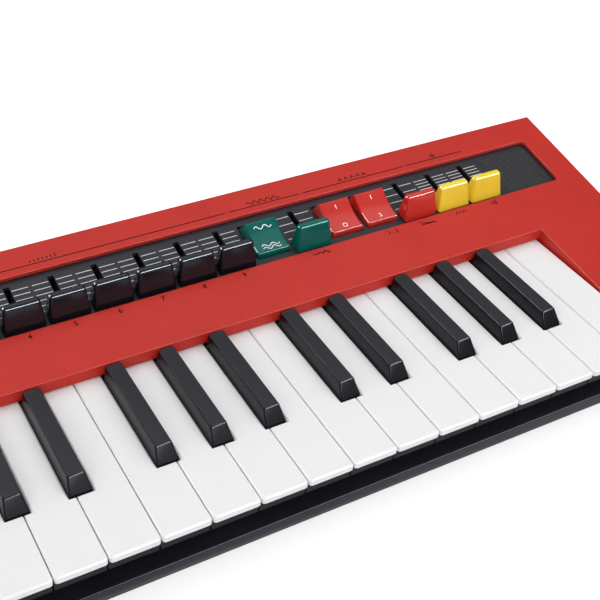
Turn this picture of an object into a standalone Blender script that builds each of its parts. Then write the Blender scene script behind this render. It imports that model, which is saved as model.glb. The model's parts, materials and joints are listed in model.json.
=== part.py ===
"""Combo organ with 37 small keys, slide levers, rocker switches and a red case.

Run with: blender --background --python part.py
Metres, +X to the player's right, +Y to the back, +Z up. The origin is on the surface the organ
stands on, under the middle of its outline.
"""
import math

import bmesh
import bpy
from mathutils import Matrix, Vector

# Clearances
FIT = 0.0003                # between pieces that rest against each other
SIDE_PLAY = 0.0004          # each side of a piece that moves between two others
BEARING_PLAY = 0.0003       # around a pin or rail in its bearing

# Keyboard
WHITE_COUNT = 22
KEY_PITCH = 0.0198
KEY_GAP = 0.0008            # between the fronts of two white keys
KEY_TOP_Z = 0.036           # playing surface above the table
WHITE_LENGTH = 0.0877       # from the fallboard to the front of a white key
WHITE_DEPTH = 0.009         # height of the moulding
LIP_HEIGHT = 0.003          # front lip of a white key
LIP_OVERHANG = 0.0025
WHITE_RECESS = 0.0016       # recess in its underside
KEY_WALL = 0.0015
KEY_EDGE = 0.0006           # rounding of a key's upper edges
CORNER_RADIUS = 0.0013      # at a white key's two front corners
BLACK_LENGTH = 0.0552       # from the fallboard to the foot of a black key's front
BLACK_HEIGHT = 0.0062       # above the white keys
BLACK_FOOT_WIDTH = 0.0092
BLACK_TOP_WIDTH = 0.0068
BLACK_FRONT_SLOPE = 0.0042  # how far the front face leans back
BLACK_NOTCH_GAP = 0.00045   # between a black key and the notch beside it
NOTCH_FRONT_GAP = 0.0006    # between a black key's front and the end of the notch
PAIR_SHIFT = 0.0020         # of two black keys, each outward from the line between its white keys
TRIO_SHIFT = 0.0032         # the same for the outer two of three black keys
WHITE_TAIL = 0.003          # white key behind the fallboard
BLACK_TAIL_GAP = 0.001      # from the back of a black key to the fallboard
ARM_GAP = 0.00355           # between the arms of two keys, on average, at the least
ARM_SHOULDER = 0.0006       # black key beyond its arm, each side, at the least
ARM_DROP = 0.0012           # its top below the playing surface

# Key bearing
PIVOT_BACK = 0.020          # behind the fallboard
PIVOT_DROP = 0.007          # below the playing surface
RAIL_RADIUS = 0.002
HOOK_WALL = 0.0020
HOOK_LIFT = 0.0008          # foot of the hook above the lowest point of its bore
RIB_FRONT = 0.0025          # rib in front of the rail
RIB_BACK = 0.0015
RIB_TOP = 0.0004            # rib above the rail
END_RIB_GAP = 0.0015        # between the last arm and the middle of the end rib
RIB_THICKNESS = 0.0014
KEYBED_THICKNESS = 0.002
KEY_TRAVEL = 0.004          # at the front of a white key
UNDERKEY_GAP = 0.001        # left above the keybed by a key pressed all the way

# Case
CHEEK_WIDTH = 0.0472        # from the last white key to the side of the case
CASE_WALL = 0.0022
CASE_EDGE = 0.0012
BAY_GAP = 0.0007            # between the end keys and the cheeks
PANEL_RISE = 0.0062         # panel above the playing surface at the fallboard
PANEL_SLOPE = math.radians(10.6)
CHEEK_SLOPE = math.radians(7.0)
PANEL_BORDER = 0.0152       # red border behind the window
BACK_LEAN = 0.0048          # foot of the back wall behind the panel's back edge
FALLBOARD_LIFT = 0.0006     # fallboard above the playing surface
LEDGE_GAP = 0.0005          # left under the front of a white key pressed all the way
CHEEK_FRONT_GAP = 0.0005    # cheek's front ahead of the white keys

# Lower case
LIP_REACH = 0.0017          # its lip in front of the white keys
LOWER_BAND = 0.0057         # height of its upright band
HULL_INSET = 0.014          # how far its underside draws in
FOOT_HEIGHT = 0.003
FOOT_RADIUS = 0.008
CASE_CORNER = 0.004
SHELF_DEPTH = 0.009         # ledge under the fronts of the keys
POST_RADIUS = 0.0035
POST_AHEAD = 0.055          # front row of posts, in front of the fallboard
POST_BEHIND = 0.010         # back row, behind it
FOOT_INSET = 0.0128         # middle of a foot, in from the edge of the underside, to front and back
FOOT_END_INSET = 0.016      # the same, to the sides

# Control panel, in the panel's own directions: across, along the slope, square to it
WINDOW_FRONT = 0.0275
WINDOW_SPARE = 0.0032       # window behind a lever pushed all the way
WINDOW_END = 0.0150         # from the end of the window to the case's side
WINDOW_CORNER = 0.003
PANEL_PLATE = 0.002
PANEL_LAP = 0.0035          # plate beyond the window, under the case
CONTROL_RIGHT = 0.0115      # middle of the first lever, left of the last white key's right side
CONTROL_LEFT = 0.0321       # middle of the last lever, right of the first white key's left side
CONTROL_GAP = 0.0022        # between the knobs of two levers
SLOT_PLAY = 0.0005          # each side of a lever's stem
SLOT_SPARE = 0.0014         # slot behind the stem of a lever pushed all the way

# Levers
LEVER_FRONT = 0.0300
LEVER_DEPTH = 0.0078
LEVER_HEIGHT = 0.0130
LEVER_TAPER = 0.0014        # each side of the knob, from foot to top
LEVER_TOP_DEPTH = 0.0028
LEVER_LEAN = 0.0042         # top of the front face behind its foot
LEVER_EDGE = 0.0009
STEM_WIDTH = 0.0018
STEM_LENGTH = 0.0050
STEM_SINK = 0.002           # how far it runs into the knob
LEVER_TRAVEL = 0.018

# Rockers
ROCKER_BACKSET = 0.0007     # pivot behind the middle of the levers' run
ROCKER_NARROWING = 0.0010   # narrower than a lever
ROCKER_HALF = 0.0088        # half the length of its top
ROCKER_HEIGHT = 0.0087      # top corners above the pivot
ROCKER_FOOT_HALF = 0.0104
ROCKER_SAG = 0.0016         # hollow of the top
ROCKER_PIVOT_DROP = 0.0065  # pivot below the panel
ROCKER_TILT = math.radians(14.5)
ROCKER_SWING_GAP = 0.0006
ROCKER_PIN_RADIUS = 0.0012
EAR_THICKNESS = 0.0008
EAR_SETBACK = 0.0001        # ear's inner face behind the edge of the opening
EAR_WALL = 0.0020           # ear in front of and behind the pin's hole
EAR_SHORTER = 0.0003        # its wall below the hole, less than that

# Circuit board
BOARD_DROP = 0.0115         # below the face of the control panel
BOARD_THICKNESS = 0.0016
BOARD_EDGE = 0.0014         # board in front of the sliders
BOARD_TAIL = 0.0076         # board behind the sliders
SLIDER_END = 0.002          # slider beyond the run of its stem
SLIDER_WIDTH = 0.007
SLIDER_HEIGHT = 0.0075
SLIDER_FLOOR = 0.001
SOLDER_SINK = 0.0005        # how far the shapes on the board run into it
SWITCH_SIZE = (0.006, 0.010, 0.0015)
STANDOFF_RADIUS = 0.0025

# Rear sockets
SOCKET_PITCH = 0.024
SOCKET_BORE = 0.0033
SOCKET_WALL = 0.0010        # of its collar
SOCKET_BLOCK_WALL = 0.0009  # of its block, below and beside the collar
SOCKET_TOP_WALL = 0.0002    # of its block above the collar
SOCKET_END_WALL = 0.0022    # of its block behind the bore
SOCKET_REACH = 0.001        # end of the collar behind the panel's back edge
COLLAR_LENGTH = 0.0045
COLLAR_SINK = 0.001         # how far it runs into the block
SOCKET_DEPTH = 0.0145
SOCKET_BELOW_TOP = 0.0135   # its axis below the back edge
SOCKET_HOLE_GAP = 0.0003
INLET_BORE = 0.0031

# Places worked out from the sizes above
KEYS_WIDTH = WHITE_COUNT * KEY_PITCH
CASE_WIDTH = KEYS_WIDTH + 2 * CHEEK_WIDTH
ARM_WIDTH = min(7 * KEY_PITCH / 12 - ARM_GAP, BLACK_FOOT_WIDTH - 2 * ARM_SHOULDER)
STEM_FRONT = LEVER_FRONT + (LEVER_DEPTH - STEM_LENGTH) / 2
STEM_BACK = STEM_FRONT + STEM_LENGTH
LEVER_END = LEVER_FRONT + LEVER_DEPTH + LEVER_TRAVEL
ROCKER_CENTRE = (LEVER_FRONT + LEVER_END) / 2 + ROCKER_BACKSET
WINDOW_BACK = LEVER_END + WINDOW_SPARE
PANEL_REACH = WINDOW_BACK + PANEL_BORDER
BACK_REACH = PANEL_REACH + BACK_LEAN
CASE_FRONT = -WHITE_LENGTH - LIP_REACH
KEY_BACK_Y = -(BACK_REACH + CASE_FRONT) / 2
KEY_FRONT_Y = KEY_BACK_Y - WHITE_LENGTH
CHEEK_FRONT_Y = KEY_FRONT_Y - CHEEK_FRONT_GAP
SPLIT_Z = KEY_TOP_Z - WHITE_DEPTH - KEY_TRAVEL - LEDGE_GAP
PIVOT_Y = KEY_BACK_Y + PIVOT_BACK
PIVOT_Z = KEY_TOP_Z - PIVOT_DROP
HOOK_BORE = RAIL_RADIUS + BEARING_PLAY
KEYBED_TOP = KEY_TOP_Z - WHITE_DEPTH - KEY_TRAVEL - UNDERKEY_GAP
PANEL_FACE = -CASE_WALL - FIT
SLOT_WIDTH = STEM_WIDTH + 2 * SLOT_PLAY
SLOT_FRONT = STEM_FRONT - SIDE_PLAY
SLOT_BACK = STEM_BACK + LEVER_TRAVEL + SLOT_SPARE
BOARD_TOP = PANEL_FACE - BOARD_DROP
STEM_FOOT = BOARD_TOP + SLIDER_FLOOR + FIT
BOARD_FRONT = STEM_FRONT - SLIDER_END - BOARD_EDGE
BOARD_BACK = STEM_BACK + LEVER_TRAVEL + SLIDER_END + BOARD_TAIL
SOCKET_COLLAR = SOCKET_BORE + SOCKET_WALL
SOCKET_BODY = SOCKET_COLLAR + SOCKET_BLOCK_WALL
OCTAVE = 7 * KEY_PITCH
WHITE_STEPS = (0, 2, 4, 5, 7, 9, 11)
BLACK_CENTRES = {
    1: KEY_PITCH - PAIR_SHIFT, 3: 2 * KEY_PITCH + PAIR_SHIFT,
    6: 4 * KEY_PITCH - TRIO_SHIFT, 8: 5 * KEY_PITCH, 10: 6 * KEY_PITCH + TRIO_SHIFT}
NOTE_NAMES = ("c", "c_sharp", "d", "d_sharp", "e", "f", "f_sharp", "g", "g_sharp", "a", "a_sharp", "b")
FIRST_OCTAVE = 3

# The controls, counted from the right in steps of CONTROL_PITCH
LEVERS = {
    "reverb_lever": (0, "yellow_plastic"), "distortion_lever": (1, "yellow_plastic"),
    "percussion_length_lever": (2, "red_plastic"), "vibrato_depth_lever": (5, "green_plastic"),
    "footage_lever_1": (7, "black_plastic"), "footage_lever_1_1_3": (8, "black_plastic"),
    "footage_lever_1_3_5": (9, "black_plastic"), "footage_lever_2": (10, "black_plastic"),
    "footage_lever_2_2_3": (11, "black_plastic"), "footage_lever_4": (12, "black_plastic"),
    "footage_lever_8": (13, "black_plastic"), "footage_lever_5_1_3": (14, "black_plastic"),
    "footage_lever_16": (15, "black_plastic"), "rotor_speed_lever": (17, "black_plastic"),
    "volume_lever": (20, "black_plastic")}
ROCKERS = {
    "percussion_type_rocker": (3, "red_plastic"), "percussion_switch_rocker": (4, "red_plastic"),
    "vibrato_chorus_rocker": (6, "green_plastic")}
STANDOFF_STEPS = (-0.5, 1.5, 7.5, 11.5, 16, 21)
SOCKET_STEPS = (-4, -3, -2, -1)
INLET_STEP = 1
CONTROL_STEPS = max(step for step, _ in LEVERS.values())
CONTROL_PITCH = (KEYS_WIDTH - CONTROL_RIGHT - CONTROL_LEFT) / CONTROL_STEPS
LEVER_WIDTH = CONTROL_PITCH - CONTROL_GAP
LEVER_TOP_WIDTH = LEVER_WIDTH - 2 * LEVER_TAPER
ROCKER_WIDTH = LEVER_WIDTH - ROCKER_NARROWING

MATERIALS = {
    "red_case": ((0.55, 0.055, 0.045), 0.42), "black_case": ((0.012, 0.012, 0.014), 0.5),
    "panel_grey": ((0.035, 0.033, 0.038), 0.55), "white_key": ((0.86, 0.87, 0.88), 0.3),
    "black_key": ((0.02, 0.021, 0.023), 0.4), "green_plastic": ((0.0, 0.19, 0.13), 0.3),
    "red_plastic": ((0.52, 0.025, 0.03), 0.3), "yellow_plastic": ((0.8, 0.5, 0.03), 0.3),
    "black_plastic": ((0.008, 0.008, 0.009), 0.2), "keybed_plastic": ((0.09, 0.09, 0.09), 0.6),
    "board_green": ((0.02, 0.12, 0.05), 0.5)}


def clear_scene():
    for item in list(bpy.data.objects):
        bpy.data.objects.remove(item, do_unlink=True)


def make_material(name):
    colour, roughness = MATERIALS[name]
    material = bpy.data.materials.get(name)
    if material is None:
        material = bpy.data.materials.new(name)
        material.use_nodes = True
        shader = material.node_tree.nodes["Principled BSDF"]
        shader.inputs["Base Color"].default_value = (*colour, 1.0)
        shader.inputs["Roughness"].default_value = roughness
        shader.inputs["Metallic"].default_value = 0.0
        material.diffuse_color = (*colour, 1.0)
    return material


def collection(name):
    found = bpy.data.collections.get(name)
    if found is None:
        found = bpy.data.collections.new(name)
        bpy.context.scene.collection.children.link(found)
    return found


# Solids

def from_bmesh(bm, name):
    """Puts a bmesh into a new object in the collection of shapes under construction."""
    bmesh.ops.recalc_face_normals(bm, faces=bm.faces)
    mesh = bpy.data.meshes.new(name)
    bm.to_mesh(mesh)
    bm.free()
    item = bpy.data.objects.new(name, mesh)
    collection("construction").objects.link(item)
    return item


def box(name, low, high, frame=Matrix()):
    """A box between two corners of a frame."""
    bm = bmesh.new()
    low, high = Vector(low), Vector(high)
    size = Matrix.Diagonal((*(high - low), 1.0))
    bmesh.ops.create_cube(bm, size=1.0, matrix=frame @ Matrix.Translation((low + high) / 2) @ size)
    return from_bmesh(bm, name)


def rod(name, start, end, radius, sides=24, frame=Matrix()):
    """A round rod between two points of a frame."""
    start, end = Vector(start), Vector(end)
    turn = (end - start).to_track_quat("Z", "Y").to_matrix().to_4x4()
    bm = bmesh.new()
    bmesh.ops.create_cone(
        bm, cap_ends=True, segments=sides, radius1=radius, radius2=radius, depth=(end - start).length,
        matrix=frame @ Matrix.Translation((start + end) / 2) @ turn)
    return from_bmesh(bm, name)


def plate(name, outline, thickness, frame=Matrix()):
    """A flat outline, filled and made thick about the frame's XY plane."""
    curve = bpy.data.curves.new(name, "CURVE")
    curve.dimensions = "2D"
    curve.fill_mode = "BOTH"
    curve.extrude = thickness / 2
    spline = curve.splines.new("POLY")
    spline.points.add(len(outline) - 1)
    for point, (across, along) in zip(spline.points, outline):
        point.co = (across, along, 0.0, 1.0)
    spline.use_cyclic_u = True
    guide = bpy.data.objects.new(name, curve)
    collection("construction").objects.link(guide)
    mesh = bpy.data.meshes.new_from_object(guide.evaluated_get(bpy.context.evaluated_depsgraph_get()))
    bpy.data.objects.remove(guide)
    bpy.data.curves.remove(curve)
    bm = bmesh.new()
    bm.from_mesh(mesh)
    bpy.data.meshes.remove(mesh)
    bmesh.ops.remove_doubles(bm, verts=bm.verts, dist=1e-6)
    bmesh.ops.dissolve_limit(bm, angle_limit=0.001, verts=bm.verts, edges=bm.edges)
    bm.transform(frame)
    return from_bmesh(bm, name)


def side_plate(name, profile, left, right):
    """A side view of (y, z) points, made thick from left to right."""
    turn = Matrix(((0, 0, 1), (1, 0, 0), (0, 1, 0))).to_4x4()
    middle = Matrix.Translation(((left + right) / 2, 0, 0))
    return plate(name, profile, right - left, middle @ turn)


def draw_out(item, facing, place):
    """Extrudes the faces that look up (1) or down (-1), with each new corner where place puts it."""
    bm = bmesh.new()
    bm.from_mesh(item.data)
    faces = [face for face in bm.faces if face.normal.z * facing > 0.9]
    moved = bmesh.ops.extrude_face_region(bm, geom=faces)["geom"]
    bmesh.ops.delete(bm, geom=faces, context="FACES")
    for vert in (part for part in moved if isinstance(part, bmesh.types.BMVert)):
        vert.co = place(vert.co)
    bmesh.ops.recalc_face_normals(bm, faces=bm.faces)
    bm.to_mesh(item.data)
    bm.free()


def arc(centre, radius, start, end, steps):
    """Points along an arc, with both of its ends."""
    turns = [math.radians(start + (end - start) * step / steps) for step in range(steps + 1)]
    return [(centre[0] + radius * math.cos(turn), centre[1] + radius * math.sin(turn)) for turn in turns]


def rounded_rectangle(low, high, radius, steps=4):
    corners = (((high[0] - radius, high[1] - radius), 0), ((low[0] + radius, high[1] - radius), 90),
               ((low[0] + radius, low[1] + radius), 180), ((high[0] - radius, low[1] + radius), 270))
    return [point for centre, turn in corners for point in arc(centre, radius, turn, turn + 90, steps)]


def combine(target, tool, operation):
    """Joins a shape to the target or cuts it out, and removes the tool."""
    tool.display_type = "WIRE"
    tool.hide_render = True
    step = target.modifiers.new(operation, "BOOLEAN")
    step.operation = operation
    step.solver = "EXACT"
    step.object = tool
    mesh = bpy.data.meshes.new_from_object(target.evaluated_get(bpy.context.evaluated_depsgraph_get()))
    target.modifiers.clear()
    old = target.data
    target.data = mesh
    bpy.data.meshes.remove(old)
    bpy.data.objects.remove(tool)
    return target


def join(target, *tools):
    for tool in tools:
        combine(target, tool, "UNION")
    return target


def cut(target, *tools):
    for tool in tools:
        combine(target, tool, "DIFFERENCE")
    return target


def round_edges(item, width, wanted, segments=1):
    """Bevels the edges whose two end points pass the test."""
    bm = bmesh.new()
    bm.from_mesh(item.data)
    edges = [edge for edge in bm.edges
             if wanted(*(vert.co for vert in edge.verts)) and edge.calc_face_angle(0.0) > 0.3]
    bmesh.ops.bevel(bm, geom=edges, offset=width, segments=segments, profile=0.5, affect="EDGES",
                    clamp_overlap=True)
    bm.to_mesh(item.data)
    bm.free()
    return item


def tidy_mesh(item, weld=2e-6):
    bm = bmesh.new()
    bm.from_mesh(item.data)
    bmesh.ops.remove_doubles(bm, verts=bm.verts, dist=weld)
    bmesh.ops.dissolve_degenerate(bm, edges=bm.edges, dist=weld)
    bm.to_mesh(item.data)
    bm.free()


def finish(item, name, material, origin=None):
    """Names a finished solid, gives it its material and puts its origin on its axis."""
    tidy_mesh(item)
    item.name = item.data.name = name
    item.data.materials.clear()
    item.data.materials.append(make_material(material))
    if origin is not None:
        item.data.transform(Matrix.Translation(-Vector(origin)))
        item.location = origin
    item.data.shade_smooth()
    item.data.set_sharp_from_angle(angle=math.radians(30))
    collection("construction").objects.unlink(item)
    collection("combo_organ").objects.link(item)
    return item


# Directions and places

def panel_frame(across=0.0):
    """The frame of the sloping panel: X across, Y up the slope, Z out of its face."""
    start = Matrix.Translation((across, KEY_BACK_Y, KEY_TOP_Z + PANEL_RISE))
    return start @ Matrix.Rotation(PANEL_SLOPE, 4, "X")


def panel_height(reach):
    """Height of the case's top at a level distance behind the fallboard, with no thickness."""
    slope = PANEL_SLOPE if reach >= 0 else CHEEK_SLOPE
    return KEY_TOP_Z + PANEL_RISE + reach * math.tan(slope)


def control_x(step):
    return KEYS_WIDTH / 2 - CONTROL_RIGHT - step * CONTROL_PITCH


# Keys

def notch_half():
    return BLACK_FOOT_WIDTH / 2 + BLACK_NOTCH_GAP


def white_span(step):
    """Left and right side of a white key's narrow part, from the left of its octave."""
    place = WHITE_STEPS.index(step) * KEY_PITCH
    left = place + KEY_GAP / 2
    right = place + KEY_PITCH - KEY_GAP / 2
    if step - 1 in BLACK_CENTRES:
        left = BLACK_CENTRES[step - 1] + notch_half()
    if step + 1 in BLACK_CENTRES:
        right = BLACK_CENTRES[step + 1] - notch_half()
    return left, right


def white_outline(front, back, sides, inset=0.0, radius=CORNER_RADIUS):
    """A white key from above: sides are its left and right edge at the front and at the back."""
    left, right, back_left, back_right = sides
    left, right = left + inset, right - inset
    back_left, back_right = back_left + inset, back_right - inset
    notch = KEY_BACK_Y - BLACK_LENGTH - NOTCH_FRONT_GAP
    points = arc((right - radius, front + inset + radius), radius, -90, 0, 3)
    if right - back_right > 1e-6:
        points += [(right, notch - inset), (back_right, notch - inset)]
    points += [(back_right, back - inset), (back_left, back - inset)]
    if back_left - left > 1e-6:
        points += [(back_left, notch - inset), (left, notch - inset)]
    return points + arc((left + radius, front + inset + radius), radius, 180, 270, 3)


def key_arm(name, centre, start):
    """The arm behind a key, which ends in a hook that snaps over the rail."""
    top = KEY_TOP_Z - ARM_DROP
    foot = PIVOT_Z - HOOK_BORE + HOOK_LIFT
    rear = PIVOT_Y + HOOK_BORE + HOOK_WALL
    front = PIVOT_Y - HOOK_BORE - HOOK_WALL
    opening = math.degrees(math.asin((foot - PIVOT_Z) / HOOK_BORE))
    profile = [(start, top), (start, KEY_TOP_Z - WHITE_DEPTH + KEY_WALL), (front, foot)]
    profile += arc((PIVOT_Y, PIVOT_Z), HOOK_BORE, 180 - opening, opening, 10)
    profile += [(rear, foot), (rear, top)]
    return side_plate(name, profile, centre - ARM_WIDTH / 2, centre + ARM_WIDTH / 2)


def white_key(name, place, sides, arm_centre):
    """A white key with a recess below, with its left front corner at a place across."""
    front, back = KEY_FRONT_Y, KEY_BACK_Y + WHITE_TAIL
    foot = KEY_TOP_Z - WHITE_DEPTH
    sides = tuple(place + side for side in sides)
    level = Matrix.Translation((0, 0, (KEY_TOP_Z + foot) / 2))
    key = plate(name, white_outline(front, back, sides), WHITE_DEPTH, level)
    round_edges(key, KEY_EDGE, lambda a, b: min(a.z, b.z) > KEY_TOP_Z - 1e-6)
    under_lip = box("under_lip", (sides[0] - KEY_PITCH, front - LIP_OVERHANG, foot - LIP_OVERHANG),
                    (sides[1] + KEY_PITCH, front + LIP_OVERHANG, KEY_TOP_Z - LIP_HEIGHT))
    hollow_outline = white_outline(front + LIP_OVERHANG, back, sides, KEY_WALL, 0.0004)
    hollow = plate("hollow", hollow_outline, WHITE_DEPTH,
                   level @ Matrix.Translation((0, 0, WHITE_RECESS - WHITE_DEPTH)))
    cut(key, under_lip, hollow)
    return join(key, key_arm("arm", place + arm_centre, back - 4 * KEY_WALL / 3))


def black_key(name, centre):
    """A hollow black key with sloping sides and front, open below."""
    foot = KEY_TOP_Z - WHITE_DEPTH
    top = KEY_TOP_Z + BLACK_HEIGHT
    front, back = KEY_BACK_Y - BLACK_LENGTH, KEY_BACK_Y - BLACK_TAIL_GAP
    half = BLACK_FOOT_WIDTH / 2
    key = box(name, (-half, front, foot), (half, back, KEY_TOP_Z))
    draw_out(key, 1, lambda corner: (
        math.copysign(BLACK_TOP_WIDTH / 2, corner.x),
        corner.y + (BLACK_FRONT_SLOPE if corner.y < back - BLACK_LENGTH / 2 else 0.0), top))
    round_edges(key, KEY_EDGE, lambda a, b: min(a.z, b.z) > top - 1e-6, 2)
    cut(key, box("hollow", (-half + KEY_WALL, front + KEY_WALL, foot - KEY_WALL),
                 (half - KEY_WALL, back - KEY_WALL, KEY_TOP_Z - ARM_DROP)))
    join(key, key_arm("arm", 0.0, back - KEY_WALL / 2))
    key.data.transform(Matrix.Translation((centre, 0, 0)))
    return key


def make_keys():
    """All the keys from left to right; keys of one shape share a mesh."""
    shapes = {}
    count = 0
    note = 0
    while count < WHITE_COUNT:
        octave, step = divmod(note, 12)
        start = -KEYS_WIDTH / 2 + octave * OCTAVE
        name = f"{NOTE_NAMES[step]}{FIRST_OCTAVE + octave}"
        if step in WHITE_STEPS:
            count += 1
            last = count == WHITE_COUNT
            shape = "last" if last else step
            if shape not in shapes:
                left = WHITE_STEPS.index(step) * KEY_PITCH
                edges = (left + KEY_GAP / 2, left + KEY_PITCH - KEY_GAP / 2)
                back = edges if last else white_span(step)
                middle = sum(white_span(step)) / 2
                key = white_key("key", 0.0, (*edges, *back), middle)
                shapes[shape] = finish(key, "key_shape", "white_key", (0, PIVOT_Y, PIVOT_Z))
            place_key(shapes[shape], f"white_key_{name}", start)
        else:
            if "black" not in shapes:
                key = black_key("key", 0.0)
                shapes["black"] = finish(key, "key_shape", "black_key", (0, PIVOT_Y, PIVOT_Z))
            place_key(shapes["black"], f"black_key_{name}", start + BLACK_CENTRES[step])
        note += 1
    for shape in shapes.values():
        bpy.data.objects.remove(shape)


def place_key(shape, name, across):
    key = bpy.data.objects.new(name, shape.data)
    key.location = (across, PIVOT_Y, PIVOT_Z)
    collection("combo_organ").objects.link(key)
    return key


def arm_centres():
    """The middle of every key's arm, from left to right."""
    centres = []
    count = 0
    note = 0
    while count < WHITE_COUNT:
        octave, step = divmod(note, 12)
        start = -KEYS_WIDTH / 2 + octave * OCTAVE
        if step in WHITE_STEPS:
            count += 1
            centres.append(start + sum(white_span(step)) / 2)
        else:
            centres.append(start + BLACK_CENTRES[step])
        note += 1
    return centres


# Frame of the keys

def make_keybed():
    """The plate under the keys with the rail they hang on and the ribs between their arms."""
    half = KEYS_WIDTH / 2
    rear = PIVOT_Y + HOOK_BORE + HOOK_WALL
    bed = box("keybed", (-half, KEY_FRONT_Y + LIP_OVERHANG + SHELF_DEPTH, KEYBED_TOP - KEYBED_THICKNESS),
              (half, rear, KEYBED_TOP))
    centres = arm_centres()
    gaps = [(a + b) / 2 for a, b in zip(centres, centres[1:])][1::2]
    ends = [centres[0] - ARM_WIDTH / 2 - END_RIB_GAP, centres[-1] + ARM_WIDTH / 2 + END_RIB_GAP]
    rail = rod("rail", (ends[0] - RIB_THICKNESS / 2, PIVOT_Y, PIVOT_Z),
               (ends[1] + RIB_THICKNESS / 2, PIVOT_Y, PIVOT_Z), RAIL_RADIUS, 12)
    for middle in [ends[0], *gaps, ends[1]]:
        left, right = middle - RIB_THICKNESS / 2, middle + RIB_THICKNESS / 2
        rib = box("rib", (left, PIVOT_Y - RAIL_RADIUS - RIB_FRONT, KEYBED_TOP - KEYBED_THICKNESS / 2),
                  (right, PIVOT_Y + RAIL_RADIUS + RIB_BACK, PIVOT_Z + RAIL_RADIUS + RIB_TOP))
        join(rail, rib)
    join(bed, rail)
    return finish(bed, "keybed_frame", "keybed_plastic")


# Case

def case_profile(wall=0.0):
    """Side view of the upper case, drawn in by a wall's thickness."""
    front = CHEEK_FRONT_Y + wall
    foot = SPLIT_Z + FIT - (0.002 if wall else 0.0)
    back_lean = (BACK_REACH - PANEL_REACH) / (panel_height(PANEL_REACH) - SPLIT_Z)
    top = panel_height(PANEL_REACH) - wall / math.cos(PANEL_SLOPE) - wall * math.tan(PANEL_SLOPE)
    shift = wall * math.sqrt(1 + back_lean ** 2)
    back_top = KEY_BACK_Y + PANEL_REACH - shift + wall * back_lean
    back_foot = KEY_BACK_Y + BACK_REACH - shift - back_lean * (foot - SPLIT_Z)
    return [(front, foot), (back_foot, foot), (back_top, top),
            (KEY_BACK_Y, panel_height(0.0) - wall / math.cos(PANEL_SLOPE)),
            (front, panel_height(front - KEY_BACK_Y) - wall / math.cos(CHEEK_SLOPE))]


def window_outline(grow=0.0):
    half = CASE_WIDTH / 2 - WINDOW_END + grow
    return rounded_rectangle((-half, WINDOW_FRONT - grow), (half, WINDOW_BACK + grow), WINDOW_CORNER + grow)


def socket_places():
    """Middle, bore and hole of each rear socket, with the side that its plug comes from."""
    z = panel_height(PANEL_REACH) - SOCKET_BELOW_TOP
    places = [(step * SOCKET_PITCH, z, SOCKET_BORE) for step in SOCKET_STEPS]
    return places + [(INLET_STEP * SOCKET_PITCH, z, INLET_BORE)]


def make_upper_case():
    """The red half of the case: panel, cheeks, fallboard and back wall."""
    half = CASE_WIDTH / 2
    bay = KEYS_WIDTH / 2 + BAY_GAP
    case = side_plate("upper_case", case_profile(), -half, half)
    low = SPLIT_Z + CASE_EDGE
    round_edges(case, CASE_EDGE, lambda a, b: min(a.z, b.z) > low, 2)
    inner = side_plate("inner", case_profile(CASE_WALL), -half + CASE_WALL, half - CASE_WALL)
    keep = box("keep", (-bay - CASE_WALL, CHEEK_FRONT_Y - CASE_WALL, 0.0),
               (bay + CASE_WALL, KEY_BACK_Y + CASE_WALL, KEY_TOP_Z * 2))
    cut(inner, keep)
    bay_cut = box("bay", (-bay, CHEEK_FRONT_Y - 2 * CASE_WALL, 0.0), (bay, KEY_BACK_Y, KEY_TOP_Z * 2))
    passage = box("passage", (-bay, KEY_BACK_Y - CASE_WALL, 0.0),
                  (bay, KEY_BACK_Y + 2 * CASE_WALL, KEY_TOP_Z + FALLBOARD_LIFT))
    window = plate("window", window_outline(), 0.012, panel_frame())
    holes = [rod("hole", (x, KEY_BACK_Y + PANEL_REACH - 0.006, z), (x, KEY_BACK_Y + BACK_REACH + 0.006, z),
                 SOCKET_COLLAR + SOCKET_HOLE_GAP) for x, z, _ in socket_places()]
    cut(case, inner, bay_cut, passage, window, *holes)
    return finish(case, "upper_case", "red_case")


def tray(name, grow, low, band_low, high):
    """A block with an upright band above and sides that draw in below it."""
    half = CASE_WIDTH / 2 + grow
    front, back = KEY_BACK_Y + CASE_FRONT - grow, KEY_BACK_Y + BACK_REACH + grow
    outline = rounded_rectangle((-half, front), (half, back), CASE_CORNER + grow, 3)
    block = plate(name, outline, high - band_low, Matrix.Translation((0, 0, (high + band_low) / 2)))
    middle = (front + back) / 2
    draw_out(block, -1, lambda corner: (
        corner.x * (half - HULL_INSET) / half,
        middle + (corner.y - middle) * (back - middle - HULL_INSET) / (back - middle), low))
    return block


def post_places():
    """Where the posts stand that carry the keybed."""
    half = KEYS_WIDTH / 2
    for across in (-0.92 * half, -0.46 * half, 0.0, 0.46 * half, 0.92 * half):
        for along in (KEY_BACK_Y - POST_AHEAD, KEY_BACK_Y + POST_BEHIND):
            yield across, along


def make_lower_case():
    """The black half of the case: tray, ledge under the key fronts, posts and feet."""
    floor = FOOT_HEIGHT
    band_low = SPLIT_Z - LOWER_BAND
    case = tray("lower_case", 0.0, floor, band_low, SPLIT_Z)
    hollow = tray("hollow", -CASE_WALL, floor + CASE_WALL, band_low, SPLIT_Z + 0.002)
    half = CASE_WIDTH / 2
    front = KEY_BACK_Y + CASE_FRONT
    ledge = box("ledge", (-half, front - 0.002, SPLIT_Z - CASE_WALL),
                (half, front + CASE_WALL + SHELF_DEPTH, SPLIT_Z + 0.004))
    cut(hollow, ledge)
    cut(case, hollow)
    foot_x = half - HULL_INSET - FOOT_END_INSET
    for across in (-foot_x, foot_x):
        for along in (front + HULL_INSET + FOOT_INSET,
                      KEY_BACK_Y + BACK_REACH - HULL_INSET - FOOT_INSET):
            foot = rod("foot", (across, along, 0.0), (across, along, floor + CASE_WALL / 2), FOOT_RADIUS, 20)
            join(case, foot)
    for across, along in post_places():
        join(case, rod("post", (across, along, floor + CASE_WALL / 2),
                       (across, along, KEYBED_TOP - KEYBED_THICKNESS - FIT), POST_RADIUS, 10))
    return finish(case, "lower_case", "black_case")


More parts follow.
